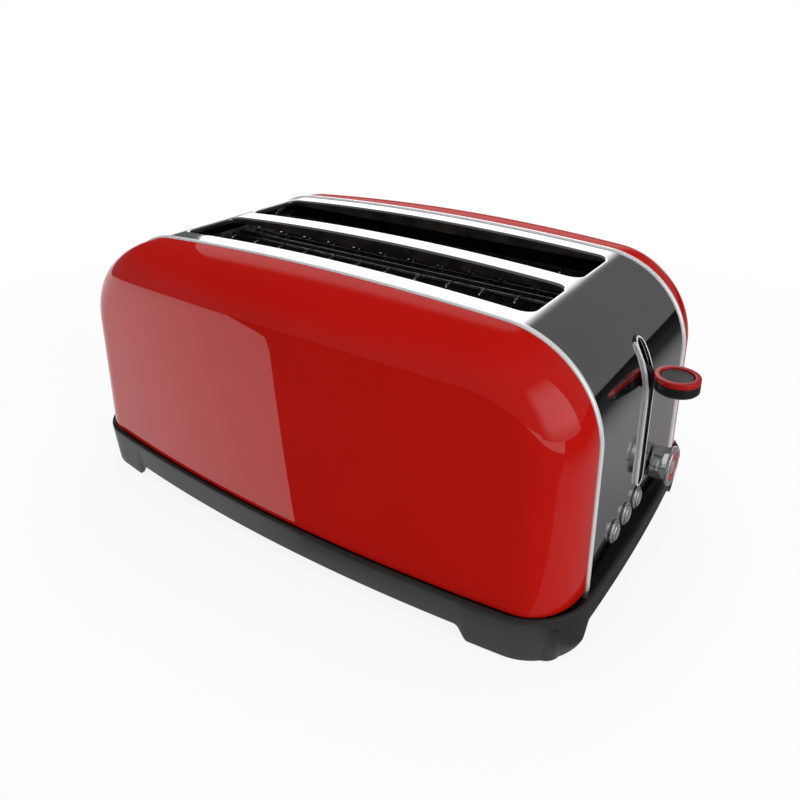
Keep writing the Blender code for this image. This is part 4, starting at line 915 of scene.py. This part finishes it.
# ---- Plinth
class TOASTER_OT_plinth(bpy.types.Operator):
    """The moulded base with its channel, arched skirt and four feet"""
    bl_idname = "toaster.plinth"
    bl_label = "Plinth"

    core_x, core_y, corner = 152 * MM, 77 * MM, 30 * MM
    well_x, well_y = 132.4 * MM, 62.6 * MM
    bow, end_bow = 13.5 * MM, 4 * MM
    rim, deck, under, skirt, foot, tray_top = 28 * MM, 22 * MM, 19.5 * MM, 9 * MM, 0.8 * MM, 16.9 * MM
    wall, soft, draft = 2.4 * MM, 1.0 * MM, math.tan(math.radians(5))

    def outline(self, inset):
        """The base in plan, moved in by inset: the core rectangle pushed out by (corner - inset) along its normals,
        then its sides bowed out by bow (1 - u^2) v and its ends drawn back by end_bow v^2 u, u and v being x and y
        over the half sizes."""
        inset = np.asarray(inset, dtype=float).reshape(-1, 1)
        arch_x, arch_y = spaced(118 * MM, 9, 134 * MM), spaced(66 * MM, 8, 77 * MM)
        mouth_y = np.array([63.6, 64.2]) * MM
        xs = np.unique(np.concatenate([np.linspace(-self.core_x, self.core_x, 77), arch_x, -arch_x]))
        ys = np.unique(np.concatenate([np.linspace(-self.core_y, self.core_y, 35), arch_y, -arch_y, mouth_y, -mouth_y]))
        parts = []
        for quarter, (sx, sy) in enumerate(((1, 1), (-1, 1), (-1, -1), (1, -1))):
            a = np.linspace(0, np.pi / 2, 22) + quarter * np.pi / 2
            parts.append(np.broadcast_arrays(sx * self.core_x, sy * self.core_y, np.cos(a), np.sin(a)))
            run = (sx * self.core_x, sx * ys[1:-1]) if quarter % 2 else (-sy * xs[1:-1], sy * self.core_y)
            parts.append(np.broadcast_arrays(*run, np.cos(a[-1]), np.sin(a[-1])))
        cx, cy, nx, ny = np.concatenate([np.stack(part) for part in parts], axis=1)
        x, y = cx + (self.corner - inset) * nx, cy + (self.corner - inset) * ny
        u, v = x / (self.core_x + self.corner - inset), y / (self.core_y + self.corner - inset)
        return x - self.end_bow * v * v * u, y + self.bow * (1 - u * u) * v, cx, cy

    def hem(self, x, y):
        """Height of the skirt's lower edge: on the foot, or raised between the feet and over the tray."""
        def ramp(place, outside, inside):
            share = np.clip((outside - np.abs(place)) / (outside - inside), 0, 1)
            return share * share * (3 - 2 * share)

        arch = np.maximum(ramp(x, 129.6 * MM, 122.6 * MM), ramp(y, 76 * MM, 69 * MM))
        mouth = np.where(x < -170 * MM, ramp(y, 64.2 * MM, 63.6 * MM), 0)
        return self.foot + (self.skirt - self.foot) * arch + (self.tray_top - self.skirt) * mouth

    def execute(self, context):
        rim, deck, under, foot, wall, soft = self.rim, self.deck, self.under, self.foot, self.wall, self.soft
        flare, inner_soft = (rim - foot) * self.draft, 0.7 * MM
        q = np.linspace(0, np.pi / 2, 6)
        turns = list(zip(1 - np.sin(q), 1 - np.cos(q)))

        # each row is a kind, an inset and a height: hem rows stand on the hem, and a wall row is a share of the draft
        rows = [("hem", flare + soft * a, soft * b) for a, b in turns]
        rows += [("wall", share, 0) for share in np.linspace(0, 1, 8)[1:-1]]
        rows += [("flat", soft * b, rim - soft * a) for a, b in turns]
        rows += [("flat", wall - inner_soft * a, rim - inner_soft * b) for a, b in turns]
        rows += [("flat", wall, deck + 1.2 * MM), ("flat", wall + 0.4 * MM, deck + 0.3 * MM),
                 ("flat", wall + 1.2 * MM, deck), ("well", 0, deck), ("well", 0, under),
                 ("flat", wall + flare, under), ("hem", wall + flare, 0)]
        rings = []
        for kind, inset, height in rows:
            x, y, cx, cy = self.outline(flare * (1 - inset) if kind == "wall" else inset)
            z = np.full_like(x, height)
            if kind == "wall":
                z = self.hem(x, y) + soft + inset * (rim - 2 * soft - self.hem(x, y))
            elif kind == "hem":
                z = self.hem(x, y) + height
            elif kind == "well":
                x, y = (cx * self.well_x / self.core_x)[None], (cy * self.well_y / self.core_y)[None]
            rings.append(points(x, y, z))
        skin = Skin().add(np.concatenate(rings), round_rows=True, round_columns=True)
        top = under + 1 * MM
        post = [(0, foot), (8.6 * MM, foot), (9.4 * MM, foot + 0.8 * MM), (10.4 * MM, top), (0, top)]
        for x in (-162.62 * MM, 162.62 * MM):
            for y in (-91.62 * MM, 91.62 * MM):
                skin.add(turned(post, (x, y, 0), "Z", 40), round_columns=True)
        skin.piece("plinth_skin", "plinth_plastic", "housing", "base_plinth", sharp=40)
        return {"FINISHED"}


# ---- Lever
class TOASTER_OT_lever_frame(bpy.types.Operator):
    """The raised bright frame around the lever's slot"""
    bl_idname = "toaster.lever_frame"
    bl_label = "Lever slot frame"

    inner, back, front = 4.1 * MM, 0.1 * MM, 1.7 * MM

    def execute(self, context):
        """A rounded section carried round the slot: half turns at its top and foot, joined by straight sides."""
        low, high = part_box("lever_slot_bezel")
        half = high[1]
        stop_low, stop_high = low[2] + half, high[2] - half
        a = np.linspace(0, np.pi, 25)
        path_y = np.concatenate([np.cos(a), np.full(10, -1.0), -np.cos(a), np.full(40, 1.0)])
        path_up = np.concatenate([np.sin(a), np.zeros(10), -np.sin(a), np.zeros(40)])
        path_z = np.concatenate([np.full(25, stop_high), np.linspace(stop_high, stop_low, 12)[1:-1],
                                 np.full(25, stop_low), np.linspace(stop_low, stop_high, 42)[1:-1]])
        section = rounded([(self.inner, self.back), (self.inner, self.front), (half, self.front), (half, self.back)],
                          [0, 0.3 * MM, 0.5 * MM, 0], 4)
        wide, proud = section[:, :1], section[:, 1:]
        z = path_z + wide * path_up
        skin = Skin().add(points(end_reach(z) + proud, wide * path_y, z), round_rows=True, round_columns=True)
        mesh = skin.piece("lever_frame", "chrome", "housing", "lever_slot_bezel", finish("satin_chrome"), sharp=45).data
        # the slot's inner sides take the near-black slot_collar finish: painted shade inside the lever slot
        inside = ((np.abs(of_faces(mesh, "center")[:, 1]) < self.inner + 0.1 * MM)
                  & (np.abs(of_faces(mesh, "normal")[:, 0]) < 0.5))
        mesh.materials.append(finish("slot_collar"))
        mesh.polygons.foreach_set("material_index", inside.astype(np.int32))
        return {"FINISHED"}


class TOASTER_OT_lever(bpy.types.Operator):
    """The black lever, its red ring and its ribbed inlay"""
    bl_idname = "toaster.lever"
    bl_label = "Lever"

    def execute(self, context):
        low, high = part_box("lever_knob_ring")
        centre = ((low[0] + high[0]) / 2 - MIDDLE_X, 0, 0)
        radius = (high[1] - low[1]) / 2
        ring_low, ring_high = low[2], high[2]
        knob_low, knob_high = ring_low - 6.3 * MM, ring_low - 0.3 * MM
        pad_edge = span("lever_knob_pad", 1)[1]
        well = pad_edge + 0.3 * MM
        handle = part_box("lever_handle")[0]
        body = rounded([(0, knob_low), (radius - 1.5 * MM, knob_low), (radius, knob_low + 1.5 * MM),
                        (radius, knob_high), (0, knob_high)], [0, 1.5 * MM, 1.2 * MM, 0.3 * MM, 0])
        skin = Skin().add(turned(body, centre, "Z", context.scene.toaster_sizes.turns), round_columns=True)
        self.arm(skin, handle[0] - MIDDLE_X, centre[0] - radius, handle[2], knob_low, knob_high)
        skin.piece("lever_moulding", "black_plastic", "carriage", "lever_handle", sharp=40)
        turned_piece("lever_ring", "red_plastic", "carriage", "lever_knob_ring",
                     [(well, ring_low), (radius, ring_low), (radius, ring_high), (well + 0.2 * MM, ring_high),
                      (well, ring_low)], [0, 0.3, 0.7, 0.5, 0], centre, "Z", 8)
        pad_low, pad_high = span("lever_knob_pad", 2)
        turned_piece("lever_inlay", "pad_plastic", "carriage", "lever_knob_pad",
                     [(0, pad_low), (pad_edge, pad_low), (pad_edge, pad_high),
                      (pad_edge - 1.2 * MM, pad_high - 0.2 * MM), (0, pad_high - 0.6 * MM)],
                     [0, 0.2, 0.4, 1.5, 0], centre, "Z")
        return {"FINISHED"}

    def arm(self, skin, start, rim, low, knob_low, knob_high):
        """A tall blade lofted along x: a rounded rectangle between two height curves that run into the knob."""
        reach, tall, corner = 5 * MM, 16 * MM, 0.8 * MM
        x = np.concatenate([np.linspace(start, rim - reach, 8), np.linspace(rim - reach, rim + reach, 14)[1:]])
        share = np.clip((x - (rim - reach)) / (9 * MM), 0, 1)
        share = share * share * (3 - 2 * share)
        bottom = low + (knob_low + 0.8 * MM - low) * share
        top = (low + tall) + (knob_high - 0.8 * MM - low - tall) * np.clip(share * 1.25, 0, 1)
        half = 2.2 * MM + 1.2 * MM * share ** 2
        a = np.linspace(0, FULL, 33)[:-1]
        y = (half[:, None] - corner) * np.sign(np.cos(a)) + corner * np.cos(a)
        z = ((bottom + top)[:, None] / 2 + ((top - bottom)[:, None] / 2 - corner) * np.sign(np.sin(a))
             + corner * np.sin(a))
        skin.add(capped(points(x[:, None], y, z)), round_columns=True)


# ---- Dial and buttons
class TOASTER_OT_dial(bpy.types.Operator):
    """The flared chrome dial with its red ring and bright cap"""
    bl_idname = "toaster.dial"
    bl_label = "Browning dial"

    def execute(self, context):
        centre, flange, back, front = round_part("dial_knob")
        _, outer, base, face = round_part("dial_ring")
        barrel, bore, floor, well = flange - 2 * MM, 3.2 * MM, front - 3 * MM, outer + 0.3 * MM
        turned_piece("dial_barrel", "chrome", "dial", "dial_knob",
                     [(bore, back), (barrel, back), (barrel, front - 5.2 * MM), (flange, front - 2.2 * MM),
                      (flange, front), (well, front), (well, floor), (bore, floor), (bore, back)],
                     [0, 0.5, 5, 1, 1, 0.5, 0.1, 0, 0], centre, "X", 8)
        inner = outer - 4 * MM
        turned_piece("dial_accent", "red_plastic", "dial", "dial_ring",
                     [(inner, base), (outer, base), (outer, face), (inner, face), (inner, base)],
                     [0, 0, 0.8, 0.8, 0], centre)
        _, outer, base, face = round_part("dial_cap")
        turned_piece("dial_face", "chrome", "dial", "dial_cap",
                     [(0, base), (outer, base), (outer, face - 0.3 * MM), (outer - 1 * MM, face - 0.1 * MM),
                      (outer - 2 * MM, face - 0.3 * MM), (0, face - 0.6 * MM)], [0, 0, 0.4, 0.5, 1.5, 0], centre)
        return {"FINISHED"}


class TOASTER_OT_buttons(bpy.types.Operator):
    """Three chrome push buttons in their bezels"""
    bl_idname = "toaster.buttons"
    bl_label = "Buttons"

    stem, head = 2 * MM, 6.8 * MM

    def execute(self, context):
        for button in ("button_1", "button_2", "button_3"):
            centre, radius, back, face = round_part(button)
            neck = face - self.head
            turned_piece(button + "_face", "chrome", button, button,
                         [(0, back), (self.stem, back), (self.stem, neck), (radius, neck), (radius, face),
                          (radius - 1.6 * MM, face - 0.1 * MM), (0, face - 0.7 * MM)],
                         [0, 0, 0, 0.3, 0.7, 1.5, 0], centre)
            _, outer, base, top = round_part(button + "_bezel")
            inner = radius + 0.5 * MM
            turned_piece(button + "_rim", "chrome", "housing", button + "_bezel",
                         [(inner, base), (outer, base), (outer, top), (inner, top), (inner, base)],
                         [0, 0.2, 0.6, 0.4, 0], centre, "X", 5)
        return {"FINISHED"}


# ---- Wires
class TOASTER_OT_guides(bpy.types.Operator):
    """The four bread guides: bent upright wires between a top rail, a middle rail and the hinge wire"""
    bl_idname = "toaster.guides"
    bl_label = "Bread guides"

    lean, waist = 7.5 * MM, 98 * MM

    def execute(self, context):
        r = context.scene.toaster_sizes.wire
        for place, bread in (("front_outer", 1), ("front_inner", -1), ("rear_outer", -1), ("rear_inner", 1)):
            node, body = place + "_bread_guide", place + "_guide"
            low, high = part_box(node)
            y, foot, head = (low[1] + high[1]) / 2, low[2] + r, high[2] - r
            half = (high[0] - low[0]) / 2 - r
            lean = self.lean * bread
            upright = rounded([(y, foot), (y, self.waist), (y + lean * 0.92, head - 2.6 * MM),
                               (y + lean, head - 1.4 * MM), (y, head)], [0, 22 * MM, 1.5 * MM, 1.5 * MM, 0], 5)
            xs = np.linspace(-half + 2 * MM, half - 2 * MM, context.scene.toaster_sizes.bars)
            wires = points(xs[:, None], upright[:, 0], upright[:, 1])
            Skin().add(tubes(wires, r * 0.9, (1, 0, 0)), round_columns=True).piece(
                node + "_wires", "guide_wire", body, node, sharp=60)
            along = np.linspace(-half, half, 40)
            rails = np.stack([points(along, y, foot), points(along, y, head - 2 * r),
                              points(along, y - 0.9 * r * bread, self.waist)])
            # the rails take the dark heat_blued finish: painted shade that keeps them dark under the slot's mouth
            Skin().add(tubes(rails, r * 0.8, (0, 0, 1)), round_columns=True).piece(
                node + "_rails", "guide_wire", body, None, finish("heat_blued"), sharp=60)
        return {"FINISHED"}


class TOASTER_OT_racks(bpy.types.Operator):
    """The two wire racks that lift the bread"""
    bl_idname = "toaster.racks"
    bl_label = "Bread racks"

    half, arm_spread = 126 * MM, 2.2 * MM

    def execute(self, context):
        r = context.scene.toaster_sizes.wire
        half = self.half - r
        for name in ("front_bread_rack", "rear_bread_rack"):
            low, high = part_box(name)
            near, far, z = low[1] + r, high[1] - r, (low[2] + high[2]) / 2
            middle = (near + far) / 2
            xs = np.linspace(-half, half, context.scene.toaster_sizes.bars)
            along = np.linspace(-half, half, 40)
            spine = np.linspace(low[0] - MIDDLE_X + r, high[0] - MIDDLE_X, 60)
            skin = Skin()
            for wires in (points(xs[:, None], np.linspace(near, far, 14), z),
                          np.stack([points(along, y, z) for y in (near, far)]),
                          np.stack([points(spine, middle + side * self.arm_spread, z) for side in (-1, 1)])):
                skin.add(tubes(wires, r, (0, 0, 1)), round_columns=True)
            skin.piece(name + "_wires", "guide_wire", "carriage", name, sharp=60)
        return {"FINISHED"}


# ---- Finishes of the frame's own pieces
class TOASTER_OT_works(bpy.types.Operator):
    """Finishes for the pieces inside and underneath, whose shapes come from the frame"""
    bl_idname = "toaster.works"
    bl_label = "Works and underside"

    def execute(self, context):
        slots = {row["node"]: row["material_slot"] for row in frame["record"]["subparts"]}
        for name, node in frame["nodes"].items():
            slot = slots.get(name)
            if slot is None:
                raise RuntimeError("no finish is listed for " + name)
            if not node.material_slots:
                node.data.materials.append(None)
            for place in node.material_slots:
                place.link = "OBJECT"
                place.material = finish(slot)
        return {"FINISHED"}


class TOASTER_PT_panel(bpy.types.Panel):
    """Lists the steps that build the toaster"""
    bl_label = "Toaster"
    bl_space_type = "VIEW_3D"
    bl_region_type = "UI"
    bl_category = "Toaster"

    def draw(self, context):
        for group in (context.scene.toaster_sizes, context.scene.toaster_colours, context.scene.toaster_stage):
            box = self.layout.box()
            for key in group.__annotations__:
                box.prop(group, key)
        for operator in OPERATORS:
            self.layout.operator(operator.bl_idname)


OPERATORS = (TOASTER_OT_stage, TOASTER_OT_works, TOASTER_OT_wrap, TOASTER_OT_covers, TOASTER_OT_trims,
             TOASTER_OT_plinth, TOASTER_OT_lever_frame, TOASTER_OT_lever, TOASTER_OT_dial, TOASTER_OT_buttons,
             TOASTER_OT_guides, TOASTER_OT_racks)
GROUPS = (ToasterSizes, ToasterColours, ToasterStage)
CLASSES = GROUPS + OPERATORS + (TOASTER_PT_panel,)


def register():
    for each in CLASSES:
        bpy.utils.register_class(each)
    bpy.types.Scene.toaster_sizes = PointerProperty(type=ToasterSizes)
    bpy.types.Scene.toaster_colours = PointerProperty(type=ToasterColours)
    bpy.types.Scene.toaster_stage = PointerProperty(type=ToasterStage)


def unregister():
    del bpy.types.Scene.toaster_stage
    del bpy.types.Scene.toaster_colours
    del bpy.types.Scene.toaster_sizes
    for each in reversed(CLASSES):
        bpy.utils.unregister_class(each)


def corners(box):
    """A box's two corners as plain lists."""
    return [[float(number) for number in corner] for corner in box]


def main():
    register()
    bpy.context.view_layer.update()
    for operator in OPERATORS:
        group, step = operator.bl_idname.split(".")
        getattr(getattr(bpy.ops, group), step)()


if __name__ == "__main__":
    main()
